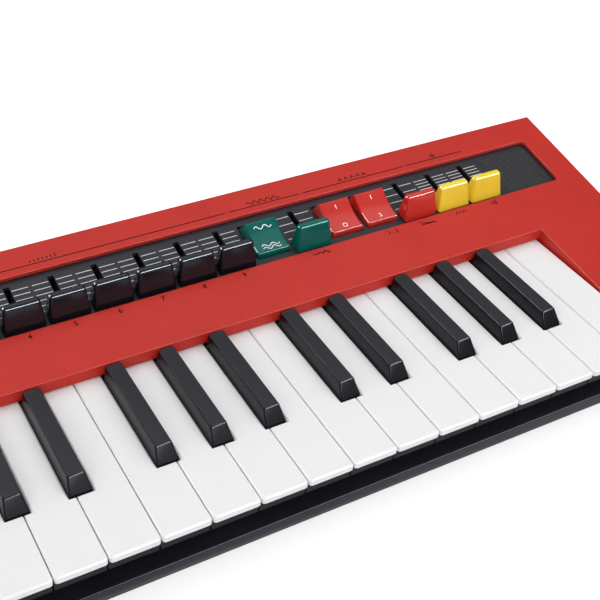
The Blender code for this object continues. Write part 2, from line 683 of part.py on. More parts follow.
# Controls

def rocker_opening():
    """Front, back and half width of the opening that a rocker swings in."""
    reach = math.hypot(ROCKER_HALF, ROCKER_HEIGHT) * math.sin(
        math.atan2(ROCKER_HALF, ROCKER_HEIGHT) + ROCKER_TILT) + ROCKER_SWING_GAP
    return ROCKER_CENTRE - reach, ROCKER_CENTRE + reach, ROCKER_WIDTH / 2 + SIDE_PLAY


def make_control_panel():
    """The dark face plate under the window, with its slots and the ears of the rockers."""
    top, foot = PANEL_FACE, PANEL_FACE - PANEL_PLATE
    face = plate("control_panel", window_outline(PANEL_LAP), PANEL_PLATE,
                 panel_frame() @ Matrix.Translation((0, 0, (top + foot) / 2)))
    front, back, half = rocker_opening()
    pivot = -ROCKER_PIVOT_DROP
    pin_hole = ROCKER_PIN_RADIUS + BEARING_PLAY
    ear_half = pin_hole + EAR_WALL
    for step, _ in ROCKERS.values():
        frame = panel_frame(control_x(step))
        cut(face, box("opening", (-half, front, -0.02), (half, back, 0.0), frame))
        for side in (-1, 1):
            edges = sorted((side * (half + EAR_SETBACK), side * (half + EAR_SETBACK + EAR_THICKNESS)))
            ear = box("ear", (edges[0], ROCKER_CENTRE - ear_half, pivot - ear_half + EAR_SHORTER),
                      (edges[1], ROCKER_CENTRE + ear_half, foot + PANEL_PLATE / 2), frame)
            cut(ear, rod("pin_hole", (edges[0] - EAR_THICKNESS, ROCKER_CENTRE, pivot),
                         (edges[1] + EAR_THICKNESS, ROCKER_CENTRE, pivot), pin_hole, 16, frame))
            join(face, ear)
    for step, _ in LEVERS.values():
        cut(face, box("slot", (-SLOT_WIDTH / 2, SLOT_FRONT, -0.02), (SLOT_WIDTH / 2, SLOT_BACK, 0.0),
                      panel_frame(control_x(step))))
    return finish(face, "control_panel", "panel_grey")


def make_lever(name, step, material):
    """A slide lever: a knob that narrows upward, on a stem that runs in its slider."""
    knob_foot = PANEL_FACE + FIT
    knob_top = knob_foot + LEVER_HEIGHT
    knob = box(name, (-LEVER_WIDTH / 2, LEVER_FRONT, knob_foot),
               (LEVER_WIDTH / 2, LEVER_FRONT + LEVER_DEPTH, knob_top))
    for vert in knob.data.vertices:
        if vert.co.z > knob_top - 1e-6:
            vert.co.x = math.copysign(LEVER_TOP_WIDTH / 2, vert.co.x)
            ahead = vert.co.y < LEVER_FRONT + 1e-6
            vert.co.y = LEVER_FRONT + LEVER_LEAN + (0.0 if ahead else LEVER_TOP_DEPTH)
    round_edges(knob, LEVER_EDGE, lambda a, b: max(a.z, b.z) > knob_foot + 0.001, 2)
    join(knob, box("stem", (-STEM_WIDTH / 2, STEM_FRONT, STEM_FOOT),
                   (STEM_WIDTH / 2, STEM_BACK, knob_foot + STEM_SINK)))
    origin = Vector((0, LEVER_FRONT + LEVER_DEPTH / 2, PANEL_FACE))
    finish(knob, name, material)
    knob.data.transform(Matrix.Translation(-origin))
    knob.matrix_world = panel_frame(control_x(step)) @ Matrix.Translation(origin)
    return knob


def make_rocker(name, step, material):
    """A rocker with a hollow top, its back raised, on two pins."""
    half, foot_half, height = ROCKER_HALF, ROCKER_FOOT_HALF, ROCKER_HEIGHT
    radius = (half ** 2 + ROCKER_SAG ** 2) / (2 * ROCKER_SAG)
    spread = math.degrees(math.asin(half / radius))
    top = arc((0.0, height + radius - ROCKER_SAG), radius, -90 + spread, -90 - spread, 8)
    profile = top + [(-foot_half, 0.001), (-0.0035, -0.0028), (0.0035, -0.0028), (foot_half, 0.001)]
    rocker = side_plate(name, profile, -ROCKER_WIDTH / 2, ROCKER_WIDTH / 2)
    round_edges(rocker, 0.0006, lambda a, b: min(a.z, b.z) > height - ROCKER_SAG - 1e-4
                and (abs(a.x - b.x) < 1e-6 or abs(a.y) > half - 1e-4), 2)
    reach = ROCKER_WIDTH / 2 + SIDE_PLAY + EAR_SETBACK + EAR_THICKNESS
    join(rocker, rod("pin", (-reach, 0, 0), (reach, 0, 0), ROCKER_PIN_RADIUS, 16))
    finish(rocker, name, material)
    rocker.matrix_world = (panel_frame(control_x(step))
                           @ Matrix.Translation((0, ROCKER_CENTRE, -ROCKER_PIVOT_DROP))
                           @ Matrix.Rotation(ROCKER_TILT, 4, "X"))
    return rocker


# Electronics

def make_circuit_board():
    """The board under the control panel, with sliders, switches, standoffs and rear sockets."""
    left, right = control_x(21.5), control_x(-1)
    frame = panel_frame()
    board = box("circuit_board", (left, BOARD_FRONT, BOARD_TOP - BOARD_THICKNESS),
                (right, BOARD_BACK, BOARD_TOP), frame)
    run_end = STEM_BACK + LEVER_TRAVEL
    for step, _ in LEVERS.values():
        place = panel_frame(control_x(step))
        body = box("slider", (-SLIDER_WIDTH / 2, STEM_FRONT - SLIDER_END, BOARD_TOP - SOLDER_SINK),
                   (SLIDER_WIDTH / 2, run_end + SLIDER_END, BOARD_TOP + SLIDER_HEIGHT), place)
        cut(body, box("groove", (-STEM_WIDTH / 2 - FIT, STEM_FRONT - FIT, STEM_FOOT - FIT),
                      (STEM_WIDTH / 2 + FIT, run_end + FIT, PANEL_FACE), place))
        join(board, body)
    width, length, height = SWITCH_SIZE
    for step, _ in ROCKERS.values():
        place = panel_frame(control_x(step))
        join(board, box("switch", (-width / 2, ROCKER_CENTRE - length / 2, BOARD_TOP - SOLDER_SINK),
                        (width / 2, ROCKER_CENTRE + length / 2, BOARD_TOP + height), place))
    for step in STANDOFF_STEPS:
        place = panel_frame(control_x(step))
        join(board, rod("standoff", (0, ROCKER_CENTRE, BOARD_TOP - SOLDER_SINK),
                        (0, ROCKER_CENTRE, PANEL_FACE - PANEL_PLATE - FIT), STANDOFF_RADIUS, 12, place))
    end = KEY_BACK_Y + PANEL_REACH + SOCKET_REACH
    for x, z, bore in socket_places():
        join(board, box("block", (x - SOCKET_BODY, end - SOCKET_DEPTH - SOCKET_END_WALL, z - SOCKET_BODY),
                        (x + SOCKET_BODY, end - COLLAR_LENGTH, z + SOCKET_COLLAR + SOCKET_TOP_WALL)),
             rod("collar", (x, end - COLLAR_LENGTH - COLLAR_SINK, z), (x, end, z), SOCKET_COLLAR, 24))
        cut(board, rod("bore", (x, end - SOCKET_DEPTH, z), (x, end + 0.01, z), bore, 24))
    return finish(board, "circuit_board", "board_green")


def main():
    clear_scene()
    make_lower_case()
    make_upper_case()
    make_keybed()
    make_control_panel()
    make_circuit_board()
    make_keys()
    for name, (step, material) in LEVERS.items():
        make_lever(name, step, material)
    for name, (step, material) in ROCKERS.items():
        make_rocker(name, step, material)
    bpy.data.collections.remove(collection("construction"))
    bpy.context.view_layer.update()


main()
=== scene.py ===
"""Looks of a compact combo organ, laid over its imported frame."""
from __future__ import annotations
import bpy
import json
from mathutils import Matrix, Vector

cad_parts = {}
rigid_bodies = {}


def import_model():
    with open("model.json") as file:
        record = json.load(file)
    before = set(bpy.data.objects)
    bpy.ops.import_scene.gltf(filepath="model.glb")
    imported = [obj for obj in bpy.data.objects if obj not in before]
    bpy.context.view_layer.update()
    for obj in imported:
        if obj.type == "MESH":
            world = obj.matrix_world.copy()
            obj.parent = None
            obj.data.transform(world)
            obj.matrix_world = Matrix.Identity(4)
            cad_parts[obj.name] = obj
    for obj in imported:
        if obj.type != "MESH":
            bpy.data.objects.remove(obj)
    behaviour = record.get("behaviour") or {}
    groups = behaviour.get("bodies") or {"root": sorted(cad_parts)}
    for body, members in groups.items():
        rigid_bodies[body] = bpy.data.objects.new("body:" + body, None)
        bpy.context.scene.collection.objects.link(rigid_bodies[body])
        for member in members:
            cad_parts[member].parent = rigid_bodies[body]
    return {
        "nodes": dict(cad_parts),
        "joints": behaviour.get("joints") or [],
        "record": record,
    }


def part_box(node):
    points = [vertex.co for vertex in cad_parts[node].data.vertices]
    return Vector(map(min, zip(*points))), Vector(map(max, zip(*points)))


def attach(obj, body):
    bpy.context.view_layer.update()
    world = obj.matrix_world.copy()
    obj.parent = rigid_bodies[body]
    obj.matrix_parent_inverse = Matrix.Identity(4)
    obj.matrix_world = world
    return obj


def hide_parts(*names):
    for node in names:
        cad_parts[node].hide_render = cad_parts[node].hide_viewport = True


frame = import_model()
for leftover in [item for item in bpy.data.objects if item.name in ("Cube", "Light", "Camera")]:
    bpy.data.objects.remove(leftover)
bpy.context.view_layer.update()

import json
import logging
import math
from dataclasses import dataclass
from enum import Enum
from functools import cache, cached_property
from typing import Callable, Iterable, Sequence

import bmesh
import bpy
from bmesh.types import BMEdge, BMVert
from bpy.types import Material, Mesh, Node, NodeSocket as Socket, NodeTree, Object
from mathutils import Matrix, Vector

log = logging.getLogger("combo_organ")
Pair = tuple[float, float]
Colour = tuple[float, float, float]
Point = Sequence[float]

MM = 0.001
WELD_GAP = 0.003 * MM  # corners of a solid that are nearer than this are one
HAIR = 0.01 * MM  # room for rounding errors where heights are compared
FLAT_WITHIN = math.radians(0.5)  # faces of a solid that turn less than this are one
ROUNDED_FROM = math.radians(50.0)  # corners of a solid that turn more than this are rounded
FONT_CAPITAL = 0.7  # height of a digit, as a share of the font's size
WHITE = (1.0, 1.0, 1.0, 1.0)


# The places that everything else is worked out from

@dataclass(frozen=True)
class Layout:
    """Driving sizes of the organ, as its solids have them, in metres.

    Attributes:
        key_top: playing surface above the table.
        key_back: fallboard, from the middle of the organ towards the back.
        panel_rise: panel above the playing surface at the fallboard.
        strip_drop: face of the control strip below the panel.
        knob_gap: foot of a lever's knob above the strip.
        window_front: front edge of the window, along the panel from the fallboard.
        window_back: back edge of the window.
        foot_height: underside of the case above the table.
        foot_rubber: top of the rubber on the feet.
        black_key_top: where a black key's flat top starts; above it the key is coloured lighter as painted
            sheen.
        ink_lift: printed marks above the surface that they are printed on.
        key_gain: how much wider each side of a white key is than its solid.
        lip_height: height of a white key's front lip.
        under_lip: as far towards the back as the painted shade under a white key's lip reaches.
    """

    key_top: float = 36 * MM
    key_back: float = 5.2 * MM
    panel_rise: float = 6.2 * MM
    strip_drop: float = 2.5 * MM
    knob_gap: float = 0.3 * MM
    window_front: float = 27.5 * MM
    window_back: float = 59.0 * MM
    foot_height: float = 3.0 * MM
    foot_rubber: float = 2.2 * MM
    black_key_top: float = 42.05 * MM
    ink_lift: float = 0.02 * MM
    key_gain: float = 0.15 * MM
    lip_height: float = 3.1 * MM
    under_lip: float = -76.0 * MM

    @property
    def slope(self) -> float:
        """Slope of the panel, as the levers run on it."""
        axis = next(joint["axis"] for joint in frame["joints"] if joint["type"] == "slide")
        return math.atan2(axis[2], axis[1])

    @property
    def panel(self) -> Matrix:
        """The panel's own frame: across, along the slope from the fallboard, and square to it."""
        corner = Matrix.Translation((0.0, self.key_back, self.key_top + self.panel_rise))
        return corner @ Matrix.Rotation(self.slope, 4, "X")


LAYOUT = Layout()


def middle_of(node: str) -> float:
    """The middle of a CAD node, across."""
    low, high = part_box(node)
    return (low.x + high.x) / 2


def levers() -> list[str]:
    """Names of the slide levers, from left to right."""
    return sorted((joint["child"] for joint in frame["joints"] if joint["type"] == "slide"), key=middle_of)


# Meshes

class Draft:
    """A mesh that is being drawn, in metres."""

    def __init__(self) -> None:
        """Starts an empty mesh."""
        self.bm = bmesh.new()

    def block(self, low: Point, high: Point) -> None:
        """Adds a box between two corners.

        Args:
            low: its lowest corner.
            high: its highest corner.
        """
        low, high = Vector(low), Vector(high)
        place = Matrix.Translation((low + high) / 2) @ Matrix.Diagonal((*(high - low), 1.0))
        bmesh.ops.create_cube(self.bm, size=1.0, matrix=place)

    def ring(self, points: Iterable[Point]) -> list[BMVert]:
        """Adds loose corners in order."""
        return [self.bm.verts.new(point) for point in points]

    def patch(self, points: Iterable[Point]) -> None:
        """Adds one flat face."""
        self.bm.faces.new(self.ring(points))

    def skin(self, rings: Sequence[Sequence[BMVert]], endless: bool = False) -> None:
        """Joins closed rings of corners into one skin.

        Args:
            rings: the rings, all with as many corners.
            endless: whether it runs back into its start instead of being closed at both ends.
        """
        for first, second in zip(rings, [*rings[1:], rings[0]] if endless else rings[1:]):
            count = len(first)
            for index in range(count):
                after = (index + 1) % count
                self.bm.faces.new((first[index], first[after], second[after], second[index]))
        if not endless:
            self.bm.faces.new(reversed(rings[0]))
            self.bm.faces.new(rings[-1])

    def prism(self, outline: Sequence[Point], low: float, high: float) -> None:
        """Adds a solid of one outline seen from above, between two heights."""
        self.skin([self.ring((x, y, z) for x, y in outline) for z in (low, high)])

    def lathe(self, profile: Sequence[Pair], place: Matrix, sides: int = 32,
              endless: bool = False) -> None:
        """Adds a body of revolution.

        Args:
            profile: radius and height of each ring, along the axis.
            place: the frame whose Z axis is the body's axis.
            sides: faces around the axis.
            endless: whether it is a ring, whose profile runs back into its start.
        """
        rings = []
        for radius, height in profile:
            turns = (2 * math.pi * step / sides for step in range(sides))
            rings.append(self.ring(place @ Vector((radius * math.cos(turn), radius * math.sin(turn), height))
                                   for turn in turns))
        self.skin(rings, endless)

    def round(self, width: float, wanted: Callable[[BMEdge], bool], segments: int) -> None:
        """Rounds the edges that are wanted.

        Args:
            width: radius of the rounding.
            wanted: says whether an edge is rounded.
            segments: faces across the rounding.
        """
        bmesh.ops.recalc_face_normals(self.bm, faces=self.bm.faces)
        edges = [edge for edge in self.bm.edges if wanted(edge)]
        bmesh.ops.bevel(self.bm, geom=edges, offset=width, segments=segments, profile=0.5,
                        affect="EDGES", clamp_overlap=False)

    def take(self, mesh: Mesh, place: Matrix) -> None:
        """Adds a copy of a mesh.

        Args:
            mesh: the mesh.
            place: where it goes.
        """
        before = set(self.bm.verts)
        self.bm.from_mesh(mesh)
        taken = [vert for vert in self.bm.verts if vert not in before]
        bmesh.ops.transform(self.bm, matrix=place, verts=taken)

    def lay_on(self, height: Callable[[float, float], float]) -> None:
        """Lifts every corner onto a surface, given as its height over a flat place."""
        for vert in self.bm.verts:
            vert.co.z += height(vert.co.x, vert.co.y)

    def done(self, name: str, finish: Material, place: Matrix | None = None, crisp: float = 40.0) -> Object:
        """Turns the draft into an object.

        Args:
            name: name of the object.
            finish: its material.
            place: the frame that it was drawn in.
            crisp: smallest corner in degrees that stays crisp.

        Returns:
            The object, in world coordinates.
        """
        bmesh.ops.recalc_face_normals(self.bm, faces=self.bm.faces)
        if place is not None:
            self.bm.transform(place)
        for face in self.bm.faces:
            face.smooth = True
        for edge in self.bm.edges:
            edge.smooth = edge.calc_face_angle(0.0) < math.radians(crisp)
        mesh = bpy.data.meshes.new(name)
        self.bm.to_mesh(mesh)
        self.bm.free()
        mesh.materials.append(finish)
        item = bpy.data.objects.new(name, mesh)
        bpy.context.scene.collection.objects.link(item)
        keep_flats(item)
        return item


def keep_flats(item: Object) -> None:
    """Shades the large faces of an object flat between its roundings, with a modifier."""
    item.modifiers.new("flat_between_roundings", "WEIGHTED_NORMAL").keep_sharp = True


def turn_of(edge: BMEdge) -> float:
    """The corner that an edge makes, in degrees."""
    return math.degrees(edge.calc_face_angle(0.0))


def rounded_outline(width: float, depth: float, radius: float, steps: int = 6) -> list[Pair]:
    """A rectangle with round corners about the origin.

    Args:
        width: its size across.
        depth: its size the other way.
        radius: of its corners.
        steps: faces in a corner.

    Returns:
        Its corners, counterclockwise.
    """
    points = []
    for quarter, (side_x, side_y) in enumerate(((1, 1), (-1, 1), (-1, -1), (1, -1))):
        for step in range(steps + 1):
            turn = math.pi / 2 * (quarter + step / steps)
            points.append((side_x * (width / 2 - radius) + radius * math.cos(turn),
                           side_y * (depth / 2 - radius) + radius * math.sin(turn)))
    return points


def add_piece(item: Object, body: str, slot: str, *nodes: str) -> None:
    """Puts a piece on a CAD body, in place of CAD nodes if any are named.

    Args:
        item: the piece.
        body: the body that it rides on.
        slot: the record's material slot; not used.
        nodes: the CAD nodes that it stands for.
    """
    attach(item, body)
    if nodes:
        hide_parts(*nodes)
    log.info("%s rides on %s", item.name, body)


# Finishes

class Nodes:
    """Short ways to build a node tree."""

    def __init__(self, tree: NodeTree) -> None:
        """Works on one tree."""
        self.tree = tree

    def feed(self, node: Node, inputs: dict[str | int, object]) -> Node:
        """Sets or links inputs of a node.

        Args:
            node: the node.
            inputs: value or output socket for each input, by name or number.

        Returns:
            The node.
        """
        for name, value in inputs.items():
            if isinstance(value, Socket):
                self.tree.links.new(value, node.inputs[name])
            else:
                node.inputs[name].default_value = value
        return node

    def add(self, kind: str, inputs: dict[str | int, object] | None = None, **settings: object) -> Node:
        """Adds a node with its settings.

        Args:
            kind: the node's type.
            inputs: value or output socket for each input.
            settings: the node's own settings.

        Returns:
            The node.
        """
        node = self.tree.nodes.new(kind)
        for name, value in settings.items():
            setattr(node, name, value)
        return self.feed(node, inputs or {})

    def effect(self, tree: NodeTree, inputs: dict[str | int, object]) -> Node:
        """Adds a shared effect with its inputs."""
        return self.feed(self.add("ShaderNodeGroup", node_tree=tree), inputs)

    def maths(self, operation: str, first: object, second: object = 0.0) -> Socket:
        """The result of one sum, of one value or two."""
        return self.add("ShaderNodeMath", {0: first, 1: second}, operation=operation).outputs[0]

    def blend(self, share: object, first: object, second: object) -> Socket:
        """A mix of two colours."""
        return self.add("ShaderNodeMix", {0: share, 6: first, 7: second}, data_type="RGBA").outputs[2]

    def spread(self, value: object, span: Pair, result: Pair, smooth: bool = False) -> Socket:
        """A value spread from one span to another.

        Args:
            value: the value.
            span: its lowest and highest.
            result: what they turn into.
            smooth: whether the ends are eased.

        Returns:
            The new value.
        """
        return self.add("ShaderNodeMapRange", {"Value": value, "From Min": span[0], "From Max": span[1],
                                               "To Min": result[0], "To Max": result[1]},
                        interpolation_type="SMOOTHSTEP" if smooth else "LINEAR").outputs["Result"]


def rgba(colour: Colour, share: float = 1.0) -> tuple[float, float, float, float]:
    """A colour with its alpha, a share as bright."""
    return (*(min(1.0, part * share) for part in colour), 1.0)


class Effect:
    """A shared effect that is being built: a shader node group with a Vector and a Scale input."""

    def __init__(self, name: str, scale: float, *outputs: str) -> None:
        """Starts the group.

        Args:
            name: its name.
            scale: what its Scale is where nothing else is given.
            outputs: names of its outputs, all of them numbers.
        """
        self.tree = bpy.data.node_groups.new(name, "ShaderNodeTree")
        add_socket = self.tree.interface.new_socket
        add_socket("Vector", in_out="INPUT", socket_type="NodeSocketVector")
        add_socket("Scale", in_out="INPUT", socket_type="NodeSocketFloat").default_value = scale
        for title in outputs:
            add_socket(title, in_out="OUTPUT", socket_type="NodeSocketFloat")
        self.build = Nodes(self.tree)
        self.given = self.build.add("NodeGroupInput").outputs
        self.result = self.build.add("NodeGroupOutput")

    def noise(self, scale: object, detail: float, roughness: float, **more: float) -> Socket:
        """Adds noise over the surface.

        Args:
            scale: how fine it is.
            detail: how many finer layers it has.
            roughness: how strong they are.
            more: other inputs of its node.

        Returns:
            Its value, from 0 to 1.
        """
        return self.build.add("ShaderNodeTexNoise", {"Vector": self.given["Vector"], "Scale": scale,
                                                     "Detail": detail, "Roughness": roughness,
                                                     **more}).outputs["Fac"]


@cache
def mould_grain() -> NodeTree:
    """The fine grain of a textured mould.

    Returns:
        A group that gives the grain's height and a slow drift of tone, both from 0 to 1.
    """
    effect = Effect("mould_grain", 2500.0, "Height", "Tone")
    given, build = effect.given, effect.build
    pits = build.add("ShaderNodeTexVoronoi", {"Vector": given["Vector"], "Scale": given["Scale"]},
                     feature="SMOOTH_F1")
    fine = effect.noise(given["Scale"], detail=3.0, roughness=0.6)
    both = build.maths("MULTIPLY", build.maths("ADD", pits.outputs["Distance"], fine), 0.5)
    slow = effect.noise(38.0, detail=4.0, roughness=0.55)
    build.feed(effect.result, {"Height": both, "Tone": slow})
    return effect.tree


@cache
def finger_smears() -> NodeTree:
    """The faint smears that fingers leave.

    Returns:
        A group that gives a mask from 0, clean, to 1, smeared.
    """
    effect = Effect("finger_smears", 90.0, "Smear")
    drift = effect.noise(effect.given["Scale"], detail=5.0, roughness=0.62, Distortion=0.8)
    smear = effect.build.spread(drift, (0.42, 0.72), (0, 1), smooth=True)
    effect.build.feed(effect.result, {"Smear": smear})
    return effect.tree


@cache
def hairline_scuffs() -> NodeTree:
    """Hairline scuffs along one direction, as a cloth leaves them.

    Returns:
        A group that gives a mask from 0, clean, to 1, scuffed.
    """
    effect = Effect("hairline_scuffs", 900.0, "Scuff")
    given, build = effect.given, effect.build
    drawn = build.add("ShaderNodeMapping", {"Vector": given["Vector"], "Rotation": (0.3, 0.2, 0.5),
                                            "Scale": (0.05, 1.0, 1.0)})
    lines = build.add("ShaderNodeTexNoise", {"Vector": drawn.outputs["Vector"], "Scale": given["Scale"],
                                             "Detail": 2.0})
    scuff = build.spread(lines.outputs["Fac"], (0.62, 0.72), (0, 1), smooth=True)
    build.feed(effect.result, {"Scuff": scuff})
    return effect.tree


@dataclass(frozen=True)
class MouldedPlastic:
    """A moulded plastic with its grain, drift of tone, smears and scuffs.

    Attributes:
        title: name of the material.
        colour: its main colour, linear.
        roughness: where it is clean.
        smear: how much rougher it is where it is smeared.
        scuff: how much rougher it is where it is scuffed.
        grain: grains in a metre.
        depth: depth of the grain in metres.
        drift: how far the tone drifts, as a share of the colour.
        metallic: 1 for bare metal.
        shine: specular level.
        glow: how much light passes through it under its skin.
        glow_reach: how far that light goes in metres.
        tint: colour of what it reflects.
    """

    title: str
    colour: Colour
    roughness: float
    smear: float = 0.08
    scuff: float = 0.05
    grain: float = 2500.0
    depth: float = 0.002 * MM
    drift: float = 0.05
    metallic: float = 0.0
    shine: float = 0.5
    glow: float = 0.0
    glow_reach: float = 0.8 * MM
    tint: Colour = (1.0, 1.0, 1.0)

    def build(self) -> Material:
        """Makes the material.

        Returns:
            The material.
        """
        material = bpy.data.materials.new(self.title)
        material.use_nodes = True
        build = Nodes(material.node_tree)
        shader = material.node_tree.nodes["Principled BSDF"]
        place = build.add("ShaderNodeTexCoord").outputs["Object"]
        grain = build.effect(mould_grain(), {"Vector": place, "Scale": self.grain})
        smear = build.effect(finger_smears(), {"Vector": place}).outputs["Smear"]
        scuff = build.effect(hairline_scuffs(), {"Vector": place}).outputs["Scuff"]
        worn = build.maths("ADD", build.maths("MULTIPLY", smear, self.smear),
                           build.maths("MULTIPLY", scuff, self.scuff))
        bump = build.add("ShaderNodeBump", {"Height": grain.outputs["Height"], "Strength": 1.0,
                                            "Distance": self.depth})
        build.feed(shader, {
            "Base Color": self.paint(build, place, grain.outputs["Tone"]),
            "Roughness": build.maths("ADD", worn, self.roughness), "Normal": bump.outputs["Normal"],
            "Metallic": self.metallic, "Specular IOR Level": self.shine, "Specular Tint": rgba(self.tint),
            "Subsurface Weight": self.glow, "Subsurface Radius": (1.0, 0.95, 0.9),
            "Subsurface Scale": self.glow_reach})
        material.diffuse_color = rgba(self.colour)
        return material

    def paint(self, build: Nodes, place: Socket, tone: Socket) -> Socket:
        """The colour over the surface.

        Args:
            build: the material's tree.
            place: a point's place on the organ.
            tone: slow drift of tone, from 0 to 1.

        Returns:
            The colour.
        """
        share = build.spread(tone, (0.3, 0.7), (0, 1))
        return build.blend(share, rgba(self.colour, 1 - self.drift), rgba(self.colour, 1 + self.drift))


@dataclass(frozen=True)
class ZonedPlastic(MouldedPlastic):
    """A plastic with another colour in one zone: rubber feet, painted sheen on a black key's top, or painted
    shade under a white key's lip.

    Attributes:
        other: colour in the zone.
        above: bottom of the zone.
        below: top of the zone.
        before: back of the zone.
    """

    other: Colour = (0.0, 0.0, 0.0)
    above: float = -1.0
    below: float = 1.0
    before: float = 1.0

    def paint(self, build: Nodes, place: Socket, tone: Socket) -> Socket:
        """The colour over the surface, with the other colour in the zone.

        Args:
            build: the material's tree.
            place: a point's place on the organ.
            tone: slow drift of tone, from 0 to 1.

        Returns:
            The colour.
        """
        plastic = MouldedPlastic.paint(self, build, place, tone)
        parts = build.add("ShaderNodeSeparateXYZ", {"Vector": place}).outputs
        zone = build.maths("MULTIPLY", build.maths("GREATER_THAN", parts["Z"], self.above),
                           build.maths("LESS_THAN", parts["Z"], self.below))
        zone = build.maths("MULTIPLY", zone, build.maths("LESS_THAN", parts["Y"], self.before))
        return build.blend(zone, plastic, rgba(self.other))


@dataclass(frozen=True)
class CircuitBoard(MouldedPlastic):
    """Green lacquer with tracks below, black parts above.

    Attributes:
        top: lacquered face above the panel's plane, square to it.
        parts: colour of the parts that stand on the board.
    """

    top: float = -13.9 * MM
    parts: Colour = (0.008, 0.008, 0.009)

    def paint(self, build: Nodes, place: Socket, tone: Socket) -> Socket:
        """The colour over the surface, black on the parts.

        Args:
            build: the material's tree.
            place: a point's place on the organ.
            tone: slow drift of tone, from 0 to 1.

        Returns:
            The colour.
        """
        tracks = build.add("ShaderNodeTexBrick", {
            "Vector": place, "Color1": rgba(self.colour), "Color2": rgba(self.colour, 1.25),
            "Mortar": rgba(self.colour, 2.2), "Scale": 160.0, "Mortar Size": 0.06}).outputs["Color"]
        square = LAYOUT.panel.to_3x3().col[2]
        along = build.add("ShaderNodeVectorMath", {0: place, 1: tuple(square)}, operation="DOT_PRODUCT")
        above = build.maths("GREATER_THAN", along.outputs["Value"],
                            LAYOUT.panel.translation.dot(square) + self.top)
        return build.blend(above, tracks, rgba(self.parts))


def control_plastic(title: str, colour: Colour, roughness: float, **more: object) -> MouldedPlastic:
    """The glossy plastic of a lever or a rocker.

    Args:
        title: name of the material.
        colour: its colour.
        roughness: where it is clean.
        more: other values of the plastic.

    Returns:
        The plastic.
    """
    usual = {"smear": 0.03, "scuff": 0.01, "depth": 0.0006 * MM}
    return MouldedPlastic(title, colour, roughness, **(usual | more))


class Finish(Enum):
    """The finishes of the organ."""

    RED_CASE = MouldedPlastic("red_satin_case", (0.55, 0.024, 0.015), 0.36, grain=2600.0, depth=0.003 * MM,
                              shine=0.22)
    BLACK_CASE = ZonedPlastic("black_textured_case", (0.010, 0.010, 0.014), 0.32, grain=1700.0,
                              depth=0.006 * MM, drift=0.12, shine=0.2, tint=(0.80, 0.82, 1.0),
                              other=(0.09, 0.09, 0.092), below=LAYOUT.foot_rubber)
    STRIP = MouldedPlastic("anthracite_strip", (0.016, 0.017, 0.022), 0.42, grain=2800.0, depth=0.004 * MM,
                           shine=0.4, tint=(0.88, 0.93, 1.0))
    GRILLE = MouldedPlastic("grille_sheet", (0.040, 0.043, 0.049), 0.4, grain=2800.0, shine=0.4)
    # Painted shade: the white keys' fronts under their lips take a near-black colour for the shade that
    # falls there.
    WHITE_KEY = ZonedPlastic("white_key_plastic", (0.88, 0.885, 0.895), 0.44, smear=0.05, scuff=0.02,
                             grain=700.0, depth=0.0004 * MM, drift=0.006, shine=0.22, glow=0.35,
                             other=(0.010, 0.010, 0.012), below=LAYOUT.key_top - LAYOUT.lip_height,
                             before=LAYOUT.under_lip)
    # Painted sheen: the flat tops of the black keys take a lighter colour for the sheen that they catch.
    BLACK_KEY = ZonedPlastic("black_key_plastic", (0.005, 0.005, 0.007), 0.24, smear=0.02, scuff=0.0,
                             grain=2400.0, depth=0.005 * MM, drift=0.1, shine=0.16, tint=(0.92, 0.93, 1.0),
                             other=(0.034, 0.034, 0.039), above=LAYOUT.black_key_top)
    GREEN = control_plastic("green_control_plastic", (0.0, 0.115, 0.094), 0.13, shine=0.3,
                            tint=(0.7, 1.0, 0.96))
    RED = control_plastic("red_control_plastic", (0.60, 0.026, 0.018), 0.14, shine=0.42)
    YELLOW = control_plastic("yellow_control_plastic", (0.95, 0.70, 0.04), 0.2)
    BLACK = control_plastic("black_control_plastic", (0.006, 0.006, 0.009), 0.15, smear=0.02, shine=0.4,
                            tint=(0.85, 0.92, 1.0))
    DARK_INK = MouldedPlastic("dark_print", (0.012, 0.003, 0.003), 0.6, shine=0.1)
    WHITE_INK = MouldedPlastic("white_print", (0.82, 0.82, 0.84), 0.45)
    LEGEND_INK = MouldedPlastic("legend_print", (0.86, 0.86, 0.86), 0.4)
    CLOTH = MouldedPlastic("speaker_cloth", (0.003, 0.003, 0.003), 0.9, grain=1800.0, depth=0.05 * MM)
    KEYBED = MouldedPlastic("keybed_plastic_grey", (0.3, 0.3, 0.3), 0.55, depth=0.006 * MM)
    BOARD = CircuitBoard("circuit_board_lacquer", (0.015, 0.10, 0.045), 0.35, grain=1500.0, depth=0.004 * MM)
    NICKEL = MouldedPlastic("socket_nickel", (0.72, 0.70, 0.66), 0.2, smear=0.12, scuff=0.15, metallic=1.0)
    SCREW = MouldedPlastic("screw_black_zinc", (0.12, 0.12, 0.13), 0.34, smear=0.1, scuff=0.2, metallic=1.0)

    @cached_property
    def material(self) -> Material:
        """Its material, made when it is first asked for."""
        return self.value.build()


def control_finish(node: str) -> tuple[Material, str]:
    """The material and the record's slot of a lever or a rocker: GREEN for green_plastic, and so on."""
    slot = next(part["material_slot"] for part in frame["record"]["subparts"] if part["node"] == node)
    return Finish[slot.removesuffix("_plastic").upper()].material, slot


# Modifiers of kept CAD nodes

def modifier_tree(name: str) -> tuple[NodeTree, Nodes, Node, Node]:
    """Starts a tree of geometry nodes.

    Args:
        name: its name.

    Returns:
        The tree, the builder that works on it, and its input and output nodes.
    """
    tree = bpy.data.node_groups.new(name, "GeometryNodeTree")
    for side in ("INPUT", "OUTPUT"):
        tree.interface.new_socket("Geometry", in_out=side, socket_type="NodeSocketGeometry")
    build = Nodes(tree)
    return tree, build, build.add("NodeGroupInput"), build.add("NodeGroupOutput")


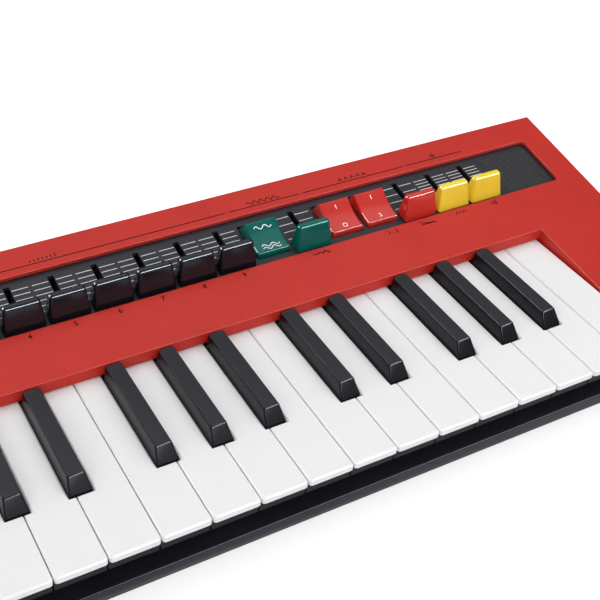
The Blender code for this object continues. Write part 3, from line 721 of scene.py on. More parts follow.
@cache
def fuller_sides(side_normal: float = 0.3) -> NodeTree:
    """A modifier that moves the sides of a white key outward, so that a hairline is left between two.

    Args:
        side_normal: least part of a face's normal that points across where it is a side.

    Returns:
        Its tree of geometry nodes.
    """
    tree, build, given, result = modifier_tree("fuller_sides")
    normal = build.add("GeometryNodeInputNormal").outputs[0]
    across = build.add("ShaderNodeSeparateXYZ", {0: normal}).outputs["X"]
    is_side = build.maths("GREATER_THAN", build.maths("ABSOLUTE", across), side_normal)
    aside = build.maths("MULTIPLY", build.maths("SIGN", across), is_side)
    shift = build.add("ShaderNodeCombineXYZ", {"X": build.maths("MULTIPLY", aside, LAYOUT.key_gain)})
    moved = build.add("GeometryNodeSetPosition", {"Geometry": given.outputs["Geometry"],
                                                  "Offset": shift.outputs[0]})
    build.feed(result, {"Geometry": moved.outputs["Geometry"]})
    return tree


@cache
def crisp_corners(crisp: float = 32.0) -> NodeTree:
    """A modifier that shades rounded edges smooth and leaves corners crisp.

    Args:
        crisp: smallest corner in degrees that stays crisp.

    Returns:
        Its tree of geometry nodes.
    """
    tree, build, given, result = modifier_tree("crisp_corners")
    turn = build.add("GeometryNodeInputMeshEdgeAngle").outputs["Unsigned Angle"]
    shade = build.add("GeometryNodeSetMeshNormal", {
        "Mesh": given.outputs["Geometry"], "Remove Custom": True, "Face Sharpness": False,
        "Edge Sharpness": build.maths("GREATER_THAN", turn, math.radians(crisp))})
    build.feed(result, {"Geometry": shade.outputs["Mesh"]})
    return tree


def dress(node: str, finish: Material, edge: float = 0.0, fuller: bool = False) -> None:
    """Gives a CAD node its finish, and rounds its corners with modifiers.

    Args:
        node: name of the node.
        finish: the material for all of its slots.
        edge: radius of the rounding, or 0 for none.
        fuller: whether its sides move outward.
    """
    item = frame["nodes"][node]
    for slot in item.material_slots:
        slot.material = finish
    item.modifiers.new("joined_faces", "WELD").merge_threshold = WELD_GAP
    if fuller:
        item.modifiers.new("fuller_sides", "NODES").node_group = fuller_sides()
    if edge:
        flat = item.modifiers.new("flat_faces", "DECIMATE")
        flat.decimate_type, flat.angle_limit = "DISSOLVE", FLAT_WITHIN
        bevel = item.modifiers.new("soft_edges", "BEVEL")
        bevel.width, bevel.segments, bevel.limit_method = edge, 3, "ANGLE"
        bevel.angle_limit, bevel.use_clamp_overlap = ROUNDED_FROM, False
    item.modifiers.new("crisp_corners", "NODES").node_group = crisp_corners()
    keep_flats(item)
    log.info("%s keeps its shape in %s", node, finish.name)


# Printed marks

class Ink(Draft):
    """Flat printed marks, drawn in the plane of what carries them."""

    def __init__(self, line: float) -> None:
        """Starts with a width for its lines."""
        super().__init__()
        self.line = line

    def bar(self, start: Point, end: Point) -> None:
        """Prints a straight line between two points."""
        self.stroke([start, end])

    def stroke(self, points: Sequence[Point]) -> None:
        """Prints a line.

        Args:
            points: the points that it runs through.
        """
        path = [Vector(point[:2]) for point in points]
        sides = []
        for index, point in enumerate(path):
            ahead = path[min(index + 1, len(path) - 1)] - path[max(index - 1, 0)]
            square = Vector((-ahead.y, ahead.x)).normalized() * self.line / 2
            sides.append(self.ring(((*(point - square), 0.0), (*(point + square), 0.0))))
        for (near, far), (near_after, far_after) in zip(sides, sides[1:]):
            self.bm.faces.new((near, near_after, far_after, far))

    def curve(self, centre: Point, shape: Callable[[float], Pair], steps: int = 24) -> None:
        """Prints a curve about a point.

        Args:
            centre: the point.
            shape: gives the curve from 0 to 1.
            steps: straight pieces in it.
        """
        points = (shape(step / steps) for step in range(steps + 1))
        self.stroke([(centre[0] + x, centre[1] + y) for x, y in points])

    def wave(self, centre: Point, width: float, height: float, turns: float, grow: bool = False) -> None:
        """Prints a wave.

        Args:
            centre: its middle.
            width: its length.
            height: from its lowest to its highest point.
            turns: how many waves it has.
            grow: whether it swells from left to right.
        """
        self.curve(centre, lambda share: (
            (share - 0.5) * width,
            height / 2 * math.sin(2 * math.pi * turns * share) * (share if grow else 1.0)), steps=48)

    def arc(self, centre: Point, radius: float, start: float, end: float) -> None:
        """Prints part of a circle, between two angles in degrees."""
        self.curve(centre, lambda share: (radius * math.cos(math.radians(start + (end - start) * share)),
                                          radius * math.sin(math.radians(start + (end - start) * share))))

    def echoes(self, centre: Point, first: float, step: float, half: float) -> None:
        """Prints four arcs that open to the right, as a sound spreads.

        Args:
            centre: centre of the arcs.
            first: radius of the first.
            step: between two of them.
            half: half the angle of each in degrees.
        """
        for count in range(4):
            self.arc(centre, first + count * step, -half, half)

    def number(self, text: str, centre: Point, height: float, bolder: float = 0.03) -> None:
        """Prints a number.

        Args:
            text: its digits.
            centre: its middle.
            height: of its digits.
            bolder: how much bolder its lines are than the font's, as a share of its height.
        """
        data = bpy.data.curves.new("number", "FONT")
        data.body, data.align_x, data.align_y = text, "CENTER", "CENTER"
        data.size, data.offset = height / FONT_CAPITAL, bolder * height
        item = bpy.data.objects.new("number", data)
        bpy.context.scene.collection.objects.link(item)
        mesh = bpy.data.meshes.new_from_object(item.evaluated_get(bpy.context.evaluated_depsgraph_get()))
        self.take(mesh, Matrix.Translation((*centre[:2], 0.0)))
        bpy.data.objects.remove(item)
        bpy.data.curves.remove(data)
        bpy.data.meshes.remove(mesh)


@dataclass
class PanelPrint:
    """The dark lines and marks on the red panel.

    Attributes:
        rule: the long line behind the window, along the panel.
        rule_groups: left and right end of each of its stretches.
        icon_row: middle of the marks behind the line.
        label_row: middle of the marks in front of the window.
        tall: height of a mark.
        digits: height of a number.
        wide: width of a mark.
        rule_width: thickness of the long line and of the marks behind it.
        mark_width: thickness of the marks in front of the window.
        pipes: how many organ pipes one mark has.
        pipe_step: between two of them.
        pipe_rise: height of the first, and what each next one adds, as shares of a mark's height.
        waves: how many waves another mark has.
        peaks: how many peaks a third mark has.
        peak_step: between two of them.
        decay: how fast the mark of a fading note falls.
        teeth: how many strokes the mark of the distortion has.
        teeth_share: its width, as a share of a mark's.
        echo_shift: centre of a mark's arcs, left of the mark's middle.
        pair: each number of a pair from the pair's middle.
    """

    rule: float = 62.9 * MM
    rule_groups: tuple[Pair, ...] = (
        (-205.0, -166.0), (-146.0, -108.0), (-96.5, 77.8), (80.0, 117.2), (119.5, 176.7), (178.3, 212.5))
    icon_row: float = 65.0 * MM
    label_row: float = 24.3 * MM
    tall: float = 2.0 * MM
    digits: float = 2.4 * MM
    wide: float = 8.6 * MM
    rule_width: float = 0.5 * MM
    mark_width: float = 0.55 * MM
    pipes: int = 7
    pipe_step: float = 1.9 * MM
    pipe_rise: Pair = (0.58, 0.07)
    waves: int = 5
    peaks: int = 5
    peak_step: float = 3.4 * MM
    decay: float = 3.2
    teeth: int = 6
    teeth_share: float = 0.7
    echo_shift: float = 2 * MM
    pair: float = 2 * MM

    def build(self) -> None:
        """Prints the panel."""
        self.build_rule()
        self.build_labels()

    def build_rule(self) -> None:
        """Prints the thin line in groups, with a mark for each group but the first."""
        ink = Ink(self.rule_width)
        for left, right in self.rule_groups:
            ink.bar((left * MM, self.rule), (right * MM, self.rule))
        centres = [(left + right) / 2 * MM for left, right in self.rule_groups]
        low, high, half = self.icon_row - self.tall / 2, self.icon_row + self.tall / 2, self.tall / 2
        first, growth = self.pipe_rise
        for pipe in range(self.pipes):
            across = centres[2] + (pipe - self.pipes // 2) * self.pipe_step
            ink.bar((across, low), (across, low + self.tall * (first + growth * pipe)))
        ink.wave((centres[3], self.icon_row), 2 * self.wide, self.tall, self.waves)
        for peak in range(self.peaks):
            across = centres[4] + (peak - self.peaks // 2) * self.peak_step
            ink.bar((across, high), (across + half, low))
            ink.bar((across - half, low), (across, high))
        ink.echoes((centres[5] - self.echo_shift, self.icon_row), first=0.6 * MM, step=0.9 * MM, half=28)
        ink.arc((centres[1], self.icon_row), half, 0, 360)
        self.lay(ink, "panel_rule")

    def build_labels(self) -> None:
        """Prints a number or a mark in front of every control."""
        ink = Ink(self.mark_width)
        row, half = self.label_row, self.wide / 2
        low, high = row - self.tall / 2, row + self.tall / 2
        footage = [node for node in levers() if node.startswith("footage")]
        for count, node in enumerate(footage, 1):
            ink.number(str(count), (middle_of(node), row), self.digits)
        depth, length, drive, room, volume, rotor, kind = map(middle_of, (
            "vibrato_depth_lever", "percussion_length_lever", "distortion_lever", "reverb_lever",
            "volume_lever", "rotor_speed_lever", "percussion_type_rocker"))
        ink.wave((depth, row), self.wide, self.tall, turns=3, grow=True)
        ink.curve((length, row), lambda share: ((share - 0.5) * self.wide,
                                                self.tall * (math.exp(-self.decay * share) - 0.5)))
        ink.bar((length - half, low), (length + half, low))
        ink.stroke([(drive + (tooth / self.teeth - 0.5) * self.teeth_share * self.wide,
                     row + (tooth % 2 - 0.5) * self.tall) for tooth in range(self.teeth + 1)])
        ink.echoes((room - self.echo_shift, row), first=0.7 * MM, step=1.0 * MM, half=26)
        ink.patch(((volume - half, low, 0), (volume + half, low, 0), (volume + half, high, 0)))
        ink.arc((rotor, row), self.tall / 2, 30, 330)
        for text, side in (("1", -1), ("2", 1)):
            ink.number(text, (kind + side * self.pair, row), self.digits)
        self.lay(ink, "panel_marks")

    @staticmethod
    def lay(ink: Ink, name: str) -> None:
        """Lays the marks just above the panel as one piece."""
        place = LAYOUT.panel @ Matrix.Translation((0.0, 0.0, LAYOUT.ink_lift))
        add_piece(ink.done(name, Finish.DARK_INK.material, place), "case", "black_plastic")


# Sub-assemblies

@dataclass
class Shells:
    """The two halves of the case, kept from the frame and dressed, and what is fixed under them.

    Attributes:
        red_edge: rounding of the red half's sharp edges.
        black_edge: rounding of the black half's sharp edges.
        screw_head: radius of a screw's head.
        screw_rings: radius, as a share of the head's, and height in mm of each ring of a screw's head.
        screw_places: where the screws stand, in mm.
        arm: half length and half width of each arm of a screw's recess, as shares of the head's radius.
        arm_foot: foot of the recess in the head.
        arm_turn: turn of the recess in radians.
        door: size of the battery door.
        door_corner: radius of its corners.
        door_reach: how far it stands out of the case, and into it.
        door_edge: rounding of its edge.
        ribs: how many ribs its grip has.
        rib_start: first rib, from the door's edge.
        rib_step: between two ribs.
        rib_half: half length of the first rib, and what each next one loses.
        rib_size: half width of a rib, and how far it stands out.
    """

    red_edge: float = 0.45 * MM
    black_edge: float = 0.6 * MM
    screw_head: float = 2.9 * MM
    screw_rings: tuple[Pair, ...] = ((1, -0.4), (1, 0.5), (0.93, 1.0), (0.75, 1.35), (0.45, 1.5))
    screw_places: tuple[Pair, ...] = (
        (-205, -40), (-70, -48), (70, -48), (205, -40), (-205, 44), (-100, 52), (100, 52), (205, 44))
    arm: Pair = (0.62, 0.17)
    arm_foot: float = 0.7 * MM
    arm_turn: float = 0.3
    door: Pair = (118 * MM, 62 * MM)
    door_corner: float = 5 * MM
    door_reach: Pair = (0.7 * MM, 0.3 * MM)
    door_edge: float = 0.35 * MM
    ribs: int = 7
    rib_start: float = 7 * MM
    rib_step: float = 2.4 * MM
    rib_half: Pair = (13 * MM, 1.3 * MM)
    rib_size: Pair = (0.5 * MM, 1.3 * MM)

    def build(self) -> None:
        """Dresses both halves and builds what is under them."""
        dress("upper_case", Finish.RED_CASE.material, self.red_edge)
        dress("lower_case", Finish.BLACK_CASE.material, self.black_edge)
        self.build_screws()
        self.build_battery_door()

    def build_screws(self) -> None:
        """Builds the screws that hold the halves together."""
        radius, finish = self.screw_head, Finish.SCREW.material
        half_length, half_width = (share * radius for share in self.arm)
        upside_down = Matrix.Rotation(math.pi, 4, "X")
        for count, (x, y) in enumerate(self.screw_places, 1):
            place = Matrix.Translation((x * MM, y * MM, LAYOUT.foot_height)) @ upside_down
            head = Draft()
            head.lathe([(share * radius, height * MM) for share, height in self.screw_rings], place)
            item = head.done(f"case_screw_{count}", finish)
            arms = []
            for turn in (self.arm_turn, self.arm_turn + math.pi / 2):
                arm = Draft()
                arm.block((-half_length, -half_width, self.arm_foot), (half_length, half_width, 2 * MM))
                arms.append(arm.done("recess", finish, place @ Matrix.Rotation(turn, 4, "Z")))
            cut_out(item, arms)
            add_piece(item, "case", "black_plastic")

    def build_battery_door(self) -> None:
        """Builds the battery door with its grip."""
        width, depth = self.door
        out, into = self.door_reach
        longest, loss = self.rib_half
        rib_width, rib_reach = self.rib_size
        under = LAYOUT.foot_height
        door = Draft()
        door.prism(rounded_outline(width, depth, self.door_corner), under - out, under + into)
        door.round(self.door_edge,
                   lambda edge: turn_of(edge) > 60 and all(v.co.z < under for v in edge.verts), segments=3)
        for rib in range(self.ribs):
            y = depth / 2 - self.rib_start - self.rib_step * rib
            half = longest - loss * rib
            door.block((-half, y - rib_width, under - rib_reach), (half, y + rib_width, under - 0.5 * MM))
        add_piece(door.done("battery_door", Finish.BLACK_CASE.material), "case", "black_case")


def cut_out(item: Object, cutters: Sequence[Object]) -> None:
    """Cuts solids out of a piece, and removes them.

    Args:
        item: the piece.
        cutters: the solids, which keep their materials where they cut.
    """
    for cutter in cutters:
        cut = item.modifiers.new("cut", "BOOLEAN")
        cut.operation, cut.solver, cut.object = "DIFFERENCE", "EXACT", cutter
        cut.material_mode = "TRANSFER"
    mesh = bpy.data.meshes.new_from_object(item.evaluated_get(bpy.context.evaluated_depsgraph_get()))
    item.modifiers.clear()
    item.data = mesh
    for cutter in cutters:
        bpy.data.objects.remove(cutter)


@dataclass
class Keyboard:
    """The keys and the frame under them.

    Attributes:
        black_edge: rounding of a black key.
        white_edge: rounding of a white key.
    """

    black_edge: float = 0.65 * MM
    white_edge: float = 0.25 * MM

    def build(self) -> None:
        """Dresses the keys and their frame."""
        for node in sorted(frame["nodes"]):
            if node.startswith("white_key_"):
                dress(node, Finish.WHITE_KEY.material, self.white_edge, fuller=True)
            elif node.startswith("black_key_"):
                dress(node, Finish.BLACK_KEY.material, self.black_edge)
        dress("keybed_frame", Finish.KEYBED.material)


SCALE_LINES = {"reverb_lever": 10, "distortion_lever": 10, "vibrato_depth_lever": 5,
               "percussion_length_lever": 5}


@dataclass
class ControlStrip:
    """The dark strip with its scales and its two grilles.

    Attributes:
        grille_start: inner edge of a grille, from the middle of the organ.
        hole_pitch: between two holes of a grille.
        hole_radius: radius of a hole.
        columns: holes across a grille.
        rows: holes along the slope.
        sheet: thickness of the grille.
        pocket: depth of the pocket under it.
        scale_back: rearmost scale line, along the panel.
        scale_run: from the rearmost scale line to the front one.
        line_near: near end of a scale line, from the middle of its lever.
        line_far: far end of a scale line.
        line_width: thickness of a scale line.
        lines: how many scale lines a lever has, apart from those in SCALE_LINES.
    """

    grille_start: float = 220.9 * MM
    hole_pitch: float = 1.48 * MM
    hole_radius: float = 0.53 * MM
    columns: int = 19
    rows: int = 18
    sheet: float = 0.25 * MM
    pocket: float = 0.8 * MM
    scale_back: float = 53.1 * MM
    scale_run: float = 18.6 * MM
    line_near: float = 1.7 * MM
    line_far: float = 9.0 * MM
    line_width: float = 0.34 * MM
    lines: int = 7

    def build(self) -> None:
        """Builds the strip, the grilles and the printed scales."""
        self.build_face()
        for side in (-1, 1):
            self.build_grille(side)
        self.build_scales()

    def grille_centre(self, side: int) -> Pair:
        """The middle of a grille on the strip: across, and along the slope."""
        half = self.hole_pitch * self.columns / 2
        return side * (self.grille_start + half), (LAYOUT.window_front + LAYOUT.window_back) / 2

    def build_face(self) -> None:
        """Copies the strip's solid and sinks a cloth-lined pocket into it for each grille."""
        item = bpy.data.objects.new("control_strip_face", frame["nodes"]["control_panel"].data.copy())
        bpy.context.scene.collection.objects.link(item)
        item.data.materials.clear()
        item.data.materials.append(Finish.STRIP.material)
        solid = bmesh.new()
        solid.from_mesh(item.data)
        bmesh.ops.remove_doubles(solid, verts=solid.verts, dist=WELD_GAP)
        solid.to_mesh(item.data)
        solid.free()
        pockets = []
        half_x, half_y = self.hole_pitch * self.columns / 2, self.hole_pitch * self.rows / 2
        for side in (-1, 1):
            across, along = self.grille_centre(side)
            pocket = Draft()
            pocket.block((across - half_x, along - half_y, -LAYOUT.strip_drop - self.pocket),
                         (across + half_x, along + half_y, 0.0))
            pockets.append(pocket.done("pocket", Finish.CLOTH.material, LAYOUT.panel))
        cut_out(item, pockets)
        add_piece(item, "case", "panel_grey", "control_panel")

    def build_grille(self, side: int) -> None:
        """Builds one perforated sheet, flush with the strip.

        Args:
            side: -1 for the left end, 1 for the right end.
        """
        across, along = self.grille_centre(side)
        pitch, top = self.hole_pitch, -LAYOUT.strip_drop
        sheet = Draft()
        found: dict[tuple[int, int], BMVert] = {}

        def corner(column: int, row: int) -> BMVert:
            """A corner of a hole's cell, or the middle between two.

            Args:
                column: half pitches from the left.
                row: half pitches from the front.

            Returns:
                The corner, made when it is first asked for.
            """
            if (column, row) not in found:
                found[column, row] = sheet.bm.verts.new((across + (column - self.columns) * pitch / 2,
                                                         along + (row - self.rows) * pitch / 2, top))
            return found[column, row]

        around = ((2, 1), (2, 2), (1, 2), (0, 2), (0, 1), (0, 0), (1, 0), (2, 0))
        turns = [step * 2 * math.pi / len(around) for step in range(len(around))]
        spokes = [Vector((math.cos(turn), math.sin(turn), 0.0)) * self.hole_radius for turn in turns]
        for column in range(self.columns):
            for row in range(self.rows):
                middle = Vector((across + (column + 0.5 - self.columns / 2) * pitch,
                                 along + (row + 0.5 - self.rows / 2) * pitch, top))
                rim = sheet.ring(middle + spoke for spoke in spokes)
                foot = sheet.ring(middle + spoke - Vector((0, 0, self.sheet)) for spoke in spokes)
                outer = [corner(2 * column + i, 2 * row + j) for i, j in around]
                for step in range(len(around)):
                    after = (step + 1) % len(around)
                    sheet.bm.faces.new((outer[step], outer[after], rim[after], rim[step]))
                    sheet.bm.faces.new((rim[step], rim[after], foot[after], foot[step]))
        name = "speaker_grille_right" if side > 0 else "speaker_grille_left"
        add_piece(sheet.done(name, Finish.GRILLE.material, LAYOUT.panel), "case", "panel_grey")

    def build_scales(self) -> None:
        """Prints the level lines on both sides of every lever's slot."""
        ink = Ink(self.line_width)
        for node in levers():
            lines, middle = SCALE_LINES.get(node, self.lines), middle_of(node)
            for line in range(lines):
                along = self.scale_back - self.scale_run * line / (lines - 1)
                for side in (-1, 1):
                    ink.bar((middle + side * self.line_near, along), (middle + side * self.line_far, along))
        place = LAYOUT.panel @ Matrix.Translation((0.0, 0.0, LAYOUT.ink_lift - LAYOUT.strip_drop))
        add_piece(ink.done("scale_lines", Finish.WHITE_INK.material, place), "case", "white_key")


@dataclass
class SlideLever:
    """One slide lever: a knob that narrows upward on a flat stem.

    Attributes:
        node: the CAD node that it stands for.
        front: foot of the front face, along the panel.
        depth: of the foot.
        height: of the knob.
        taper: how far each side draws in to the top.
        lean: top of the front face behind its foot.
        top_depth: depth of the top.
        spread: how much wider each side is than its solid.
        corner: rounding of the upright edges and of the top's edges.
        foot_corner: rounding of the foot's edges.
        stem: width and depth of the stem.
        stem_corner: rounding of its edges.
        stem_middle: middle of the stem, along the panel.
        stem_foot: foot of the stem, square to the panel.
    """

    node: str
    front: float = 29.2 * MM
    depth: float = 8.4 * MM
    height: float = 12.2 * MM
    taper: float = 1.3 * MM
    lean: float = 4.1 * MM
    top_depth: float = 3.4 * MM
    spread: float = 0.5 * MM
    corner: float = 1.35 * MM
    foot_corner: float = 0.5 * MM
    stem: Pair = (1.8 * MM, 5.0 * MM)
    stem_corner: float = 0.3 * MM
    stem_middle: float = 33.9 * MM
    stem_foot: float = -12.7 * MM

    def build(self) -> None:
        """Builds the lever in place of its node."""
        finish, slot = control_finish(self.node)
        place = LAYOUT.panel @ Matrix.Translation((middle_of(self.node), 0.0, 0.0))
        add_piece(self.knob().done(self.node + "_knob", finish, place, 60.0), self.node, slot, self.node)
        add_piece(self.shank().done(self.node + "_stem", finish, place), self.node, slot)

    def knob(self) -> Draft:
        """Draws the knob.

        Returns:
            Its mesh.
        """
        low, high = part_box(self.node)
        half, foot = (high.x - low.x) / 2 + self.spread, LAYOUT.knob_gap - LAYOUT.strip_drop
        top = foot + self.height
        back, top_front = self.front + self.depth, self.front + self.lean
        top_back, top_half = top_front + self.top_depth, half - self.taper
        draft = Draft()
        draft.skin([draft.ring(((-side, near, z), (side, near, z), (side, far, z), (-side, far, z)))
                    for side, near, far, z in ((half, self.front, back, foot),
                                               (top_half, top_front, top_back, top))])
        draft.round(self.corner, lambda edge: any(v.co.z > top - HAIR for v in edge.verts), segments=6)
        draft.round(self.foot_corner,
                    lambda edge: turn_of(edge) > 35 and all(v.co.z < foot + HAIR for v in edge.verts),
                    segments=3)
        return draft

    def shank(self) -> Draft:
        """Draws the stem.

        Returns:
            Its mesh.
        """
        width, depth = self.stem
        middle = self.stem_middle
        draft = Draft()
        draft.block((-width / 2, middle - depth / 2, self.stem_foot),
                    (width / 2, middle + depth / 2, LAYOUT.knob_gap - LAYOUT.strip_drop + MM))
        draft.round(self.stem_corner, lambda edge: turn_of(edge) > 60, segments=2)
        return draft


class Legend(Enum):
    """What is printed on a rocker: on its back half and on its front half."""

    ON_OFF = ("bar", "ring")
    TWO_KINDS = ("one", "two")
    WAVES = ("wave", "waves")


@dataclass
class Rocker:
    """One rocker switch with a hollow top.

    Attributes:
        node: the CAD node that it stands for.
        legend: what is printed on it.
        half: half the length of its top.
        height: top corners above the pivot.
        foot_half: half the length of its foot.
        sag: hollow of the top.
        width: its width.
        tilt: how far it leans forward at rest, in radians.
        edge: rounding of its upper edges.
        foot_top: where its ends start, above the pivot.
        keel: half length and depth of its narrow foot, from the pivot.
        steps: straight pieces in the hollow.
        mark_back: middle of the back mark, from the pivot.
        mark_front: middle of the front mark.
        mark_tall: height of a mark.
        mark_width: thickness of its lines.
        wave_wide: length of a wave.
        wave_shift: each of two waves from the middle of their mark.
    """

    node: str
    legend: Legend
    half: float = 8.4 * MM
    height: float = 9.2 * MM
    foot_half: float = 10.4 * MM
    sag: float = 1.3 * MM
    width: float = 16.4 * MM
    tilt: float = math.radians(14.5)
    edge: float = 1.05 * MM
    foot_top: float = 1.0 * MM
    keel: Pair = (3.5 * MM, 2.8 * MM)
    steps: int = 14
    mark_back: float = 5.0 * MM
    mark_front: float = -5.4 * MM
    mark_tall: float = 2.1 * MM
    mark_width: float = 0.42 * MM
    wave_wide: float = 9 * MM
    wave_shift: float = 0.8 * MM

    @property
    def place(self) -> Matrix:
        """The rocker's own frame.

        Returns:
            The frame, with the rocker's pivot as the origin.
        """
        pivot = next(joint["pos_m"] for joint in frame["joints"] if joint["child"] == self.node)
        pivot = (middle_of(self.node), pivot[1], pivot[2])
        return Matrix.Translation(pivot) @ Matrix.Rotation(LAYOUT.slope + self.tilt, 4, "X")

    def top(self, along: float) -> float:
        """Height of the hollow top above the pivot."""
        radius = (self.half ** 2 + self.sag ** 2) / (2 * self.sag)
        return self.height + radius - self.sag - math.sqrt(radius ** 2 - along ** 2)

    def build(self) -> None:
        """Builds the rocker in place of its node."""
        finish, slot = control_finish(self.node)
        lengths = [self.half * (1 - 2 * step / self.steps) for step in range(self.steps + 1)]
        reach, depth = self.keel
        outline = [(length, self.top(length)) for length in lengths]
        outline += [(-self.foot_half, self.foot_top), (-reach, -depth), (reach, -depth),
                    (self.foot_half, self.foot_top)]
        draft = Draft()
        draft.skin([draft.ring((x, y, z) for y, z in outline) for x in (-self.width / 2, self.width / 2)])
        low = self.height - self.sag - 0.2 * MM
        draft.round(self.edge,
                    lambda edge: turn_of(edge) > 40 and all(v.co.z > low for v in edge.verts), segments=5)
        add_piece(draft.done(self.node + "_cap", finish, self.place), self.node, slot, self.node)
        legend = self.marks().done(self.node + "_legend", Finish.LEGEND_INK.material, self.place)
        add_piece(legend, self.node, "white_key")

    def marks(self) -> Ink:
        """Prints the legend onto the hollow top.

        Returns:
            Its marks.
        """
        ink, tall, wide = Ink(self.mark_width), self.mark_tall, self.wave_wide
        draw: dict[str, Callable[[float], object]] = {
            "bar": lambda y: ink.bar((0, y - tall / 2), (0, y + tall / 2)),
            "ring": lambda y: ink.arc((0, y), tall / 2, 0, 360),
            "one": lambda y: ink.number("1", (0, y), tall),
            "two": lambda y: ink.number("2", (0, y), tall),
            "wave": lambda y: ink.wave((0, y), wide, height=1.6 * MM, turns=2),
            "waves": lambda y: [ink.wave((0, y + shift), wide, height=1.4 * MM, turns=2)
                                for shift in (-self.wave_shift, self.wave_shift)]}
        back, front = self.legend.value
        draw[back](self.mark_back)
        draw[front](self.mark_front)
        ink.lay_on(lambda x, y: self.top(y) + LAYOUT.ink_lift)
        return ink


ROCKERS = {"vibrato_chorus_rocker": Legend.WAVES, "percussion_switch_rocker": Legend.ON_OFF,
           "percussion_type_rocker": Legend.TWO_KINDS}


@dataclass
class Electronics:
    """The circuit board, kept from the frame, and the metal of its sockets.

    Attributes:
        sockets: places of the sockets, across.
        inlet: place of the power inlet, across.
        axis: the sockets' axis above the table.
        mouth: end of the sockets' collars.
        ring: radius and reach in mm of each corner of the section of a socket's ring.
        pin: the same of the inlet's pin.
    """

    sockets: tuple[float, ...] = (-96 * MM, -72 * MM, -48 * MM, -24 * MM)
    inlet: float = 24 * MM
    axis: float = 42.59 * MM
    mouth: float = 80.4 * MM
    ring: tuple[Pair, ...] = (
        (3.25, -4.0), (4.15, -0.02), (4.25, 0.15), (4.05, 0.6), (3.5, 0.6), (3.25, 0.3))
    pin: tuple[Pair, ...] = ((1.0, -12), (1.0, -1.8), (0.75, -1.2), (0.3, -1.0))

    def build(self) -> None:
        """Dresses the board and builds the metal."""
        dress("circuit_board", Finish.BOARD.material)
        for count, across in enumerate(self.sockets, 1):
            self.turned(f"socket_ring_{count}", across, self.ring, hollow=True)
        self.turned("inlet_pin", self.inlet, self.pin)

    def turned(self, name: str, across: float, profile: Sequence[Pair], hollow: bool = False) -> None:
        """Builds a turned metal piece that looks out of the back.

        Args:
            name: its name.
            across: place of its axis, across.
            profile: radius and reach of each corner of its section, in mm.
            hollow: whether it is a ring.
        """
        draft = Draft()
        place = Matrix.Translation((across, self.mouth, self.axis)) @ Matrix.Rotation(-math.pi / 2, 4, "X")
        draft.lathe([(radius * MM, reach * MM) for radius, reach in profile], place, 40, hollow)
        add_piece(draft.done(name, Finish.NICKEL.material), "case", "black_plastic")


# Stage

@dataclass(frozen=True)
class Lamp:
    """A soft box.

    Attributes:
        name: name of the lamp.
        place: where it hangs.
        target: the point that it faces.
        size: its width and height.
        power: in watts.
        glints: whether it shows in reflections only.
    """

    name: str
    place: tuple[float, float, float]
    target: tuple[float, float, float]
    size: Pair
    power: float
    glints: bool = False

    def hang(self) -> None:
        """Hangs it in the scene."""
        data = bpy.data.lights.new(self.name, "AREA")
        data.shape, data.size, data.size_y, data.energy = "RECTANGLE", *self.size, self.power
        item = bpy.data.objects.new(self.name, data)
        item.visible_diffuse = not self.glints
        item.location = self.place
        item.rotation_euler = (Vector(self.target) - Vector(self.place)).to_track_quat("-Z", "Y").to_euler()
        bpy.context.scene.collection.objects.link(item)


LAMPS = (
    Lamp("soft_box_above", (0.15, 0.45, 1.2), (0.0, 0.0, 0.0), (1.5, 1.0), 4.4),
    Lamp("soft_box_front", (-0.9, -1.1, 0.8), (0.0, 0.0, 0.03), (0.9, 0.9), 3.9),
    Lamp("strip_light_front", (0.5, -0.72, 0.84), (0.0, 0.0, 0.04), (1.3, 0.16), 3.7),
    Lamp("glint_light_front", (0.47, -0.79, 0.70), (0.0, 0.0, 0.04), (1.1, 0.2), 30.0, glints=True),
    Lamp("glint_light_left", (-0.80, 0.52, 0.58), (0.0, 0.0, 0.04), (0.35, 0.7), 22.0, glints=True))


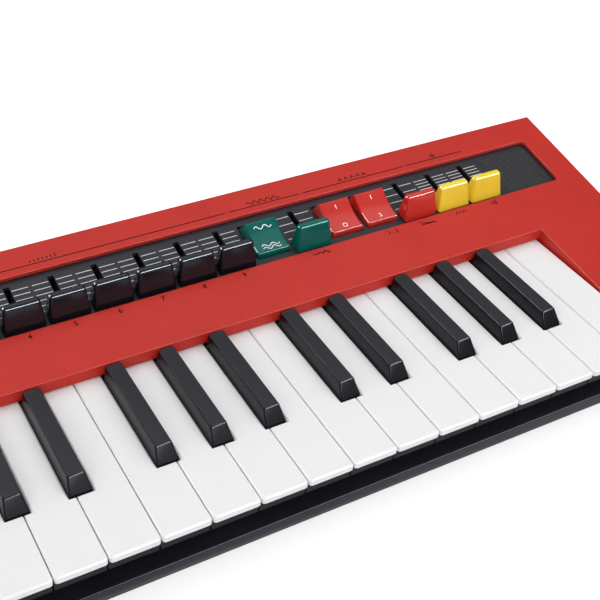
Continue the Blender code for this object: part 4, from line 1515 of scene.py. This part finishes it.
@dataclass(frozen=True)
class Studio:
    """The floor, the world and the camera.

    Attributes:
        lens: focal length of the camera in millimetres.
        sensor: width of its sensor in millimetres.
        camera: where it stands.
        right: its right-hand direction.
        down: its downward direction in the picture.
        ahead: the direction that it looks in.
        fill: strength of the light from all round.
        room: how bright the lower part of the room is in reflections.
        ceiling: how bright its upper part is in reflections.
        sweep: upward part of the directions where the one turns into the other.
        floor_half: half the width of the floor.
        floor_colour: the floor's colour.
        floor_glow: what the floor adds where it is seen, so that it shows white.
    """

    lens: float = 67.88
    sensor: float = 36.0
    camera: tuple[float, float, float] = (-0.11765, -0.32506, 0.34912)
    right: tuple[float, float, float] = (0.87215, -0.48675, 0.04925)
    down: tuple[float, float, float] = (-0.26809, -0.55969, -0.78413)
    ahead: tuple[float, float, float] = (0.40924, 0.67068, -0.61864)
    fill: float = 0.56
    room: float = 0.08
    ceiling: float = 0.55
    sweep: Pair = (0.5, 0.95)
    floor_half: float = 6.0
    floor_colour: Colour = (0.7, 0.7, 0.7)
    floor_glow: float = 0.62

    def build(self) -> None:
        """Builds the stage."""
        self.build_camera()
        self.build_world()
        self.build_floor()
        for lamp in LAMPS:
            lamp.hang()

    def build_camera(self) -> None:
        """Sets the camera where the picture was taken from."""
        data = bpy.data.cameras.new("picture_camera")
        data.lens, data.sensor_width, data.clip_start = self.lens, self.sensor, 0.01
        item = bpy.data.objects.new("picture_camera", data)
        axes = Matrix((self.right, -Vector(self.down), -Vector(self.ahead))).transposed()
        item.matrix_world = Matrix.Translation(self.camera) @ axes.to_4x4()
        bpy.context.scene.collection.objects.link(item)
        bpy.context.scene.camera = item

    def build_world(self) -> None:
        """Lights the scene from all round, and shows white behind it."""
        world = bpy.data.worlds.new("studio")
        world.use_nodes = True
        bpy.context.scene.world = world
        world.node_tree.nodes.clear()
        build = Nodes(world.node_tree)
        path = build.add("ShaderNodeLightPath").outputs
        mirrored = build.maths("MAXIMUM", path["Is Glossy Ray"], path["Is Transmission Ray"])
        way = build.add("ShaderNodeTexCoord").outputs["Generated"]
        up = build.add("ShaderNodeSeparateXYZ", {"Vector": way}).outputs["Z"]
        shade = build.spread(up, self.sweep, (self.room, self.ceiling), smooth=True)
        seen = build.maths("MAXIMUM", path["Is Camera Ray"], build.maths("MULTIPLY", mirrored, shade))
        unseen = build.maths("SUBTRACT", 1.0, build.maths("MAXIMUM", path["Is Camera Ray"], mirrored))
        strength = build.maths("ADD", seen, build.maths("MULTIPLY", unseen, self.fill))
        light = build.add("ShaderNodeBackground", {"Color": WHITE, "Strength": strength})
        build.add("ShaderNodeOutputWorld", {"Surface": light.outputs[0]})

    def build_floor(self) -> None:
        """Lays a plain white floor that keeps the shadow."""
        draft = Draft()
        half = self.floor_half
        draft.patch(((-half, -half, 0), (half, -half, 0), (half, half, 0), (-half, half, 0)))
        material = bpy.data.materials.new("studio_floor")
        material.use_nodes = True
        build = Nodes(material.node_tree)
        shader = material.node_tree.nodes["Principled BSDF"]
        path = build.add("ShaderNodeLightPath").outputs
        mirrored = build.maths("MAXIMUM", path["Is Glossy Ray"], path["Is Transmission Ray"])
        seen = build.maths("MAXIMUM", path["Is Camera Ray"], mirrored)
        build.feed(shader, {"Base Color": rgba(self.floor_colour), "Roughness": 0.9, "Emission Color": WHITE,
                            "Emission Strength": build.maths("MULTIPLY", seen, self.floor_glow)})
        draft.done("studio_floor", material)


def main() -> None:
    """Builds every class in order."""
    logging.basicConfig(level=logging.INFO, format="%(message)s")
    Studio().build()
    levers_and_rockers = [SlideLever(node) for node in levers()]
    levers_and_rockers += [Rocker(node, legend) for node, legend in ROCKERS.items()]
    for assembly in (Shells(), Keyboard(), ControlStrip(), PanelPrint(), *levers_and_rockers, Electronics()):
        assembly.build()
    bpy.context.scene.view_settings.view_transform = "Standard"


if __name__ == "__main__":
    main()
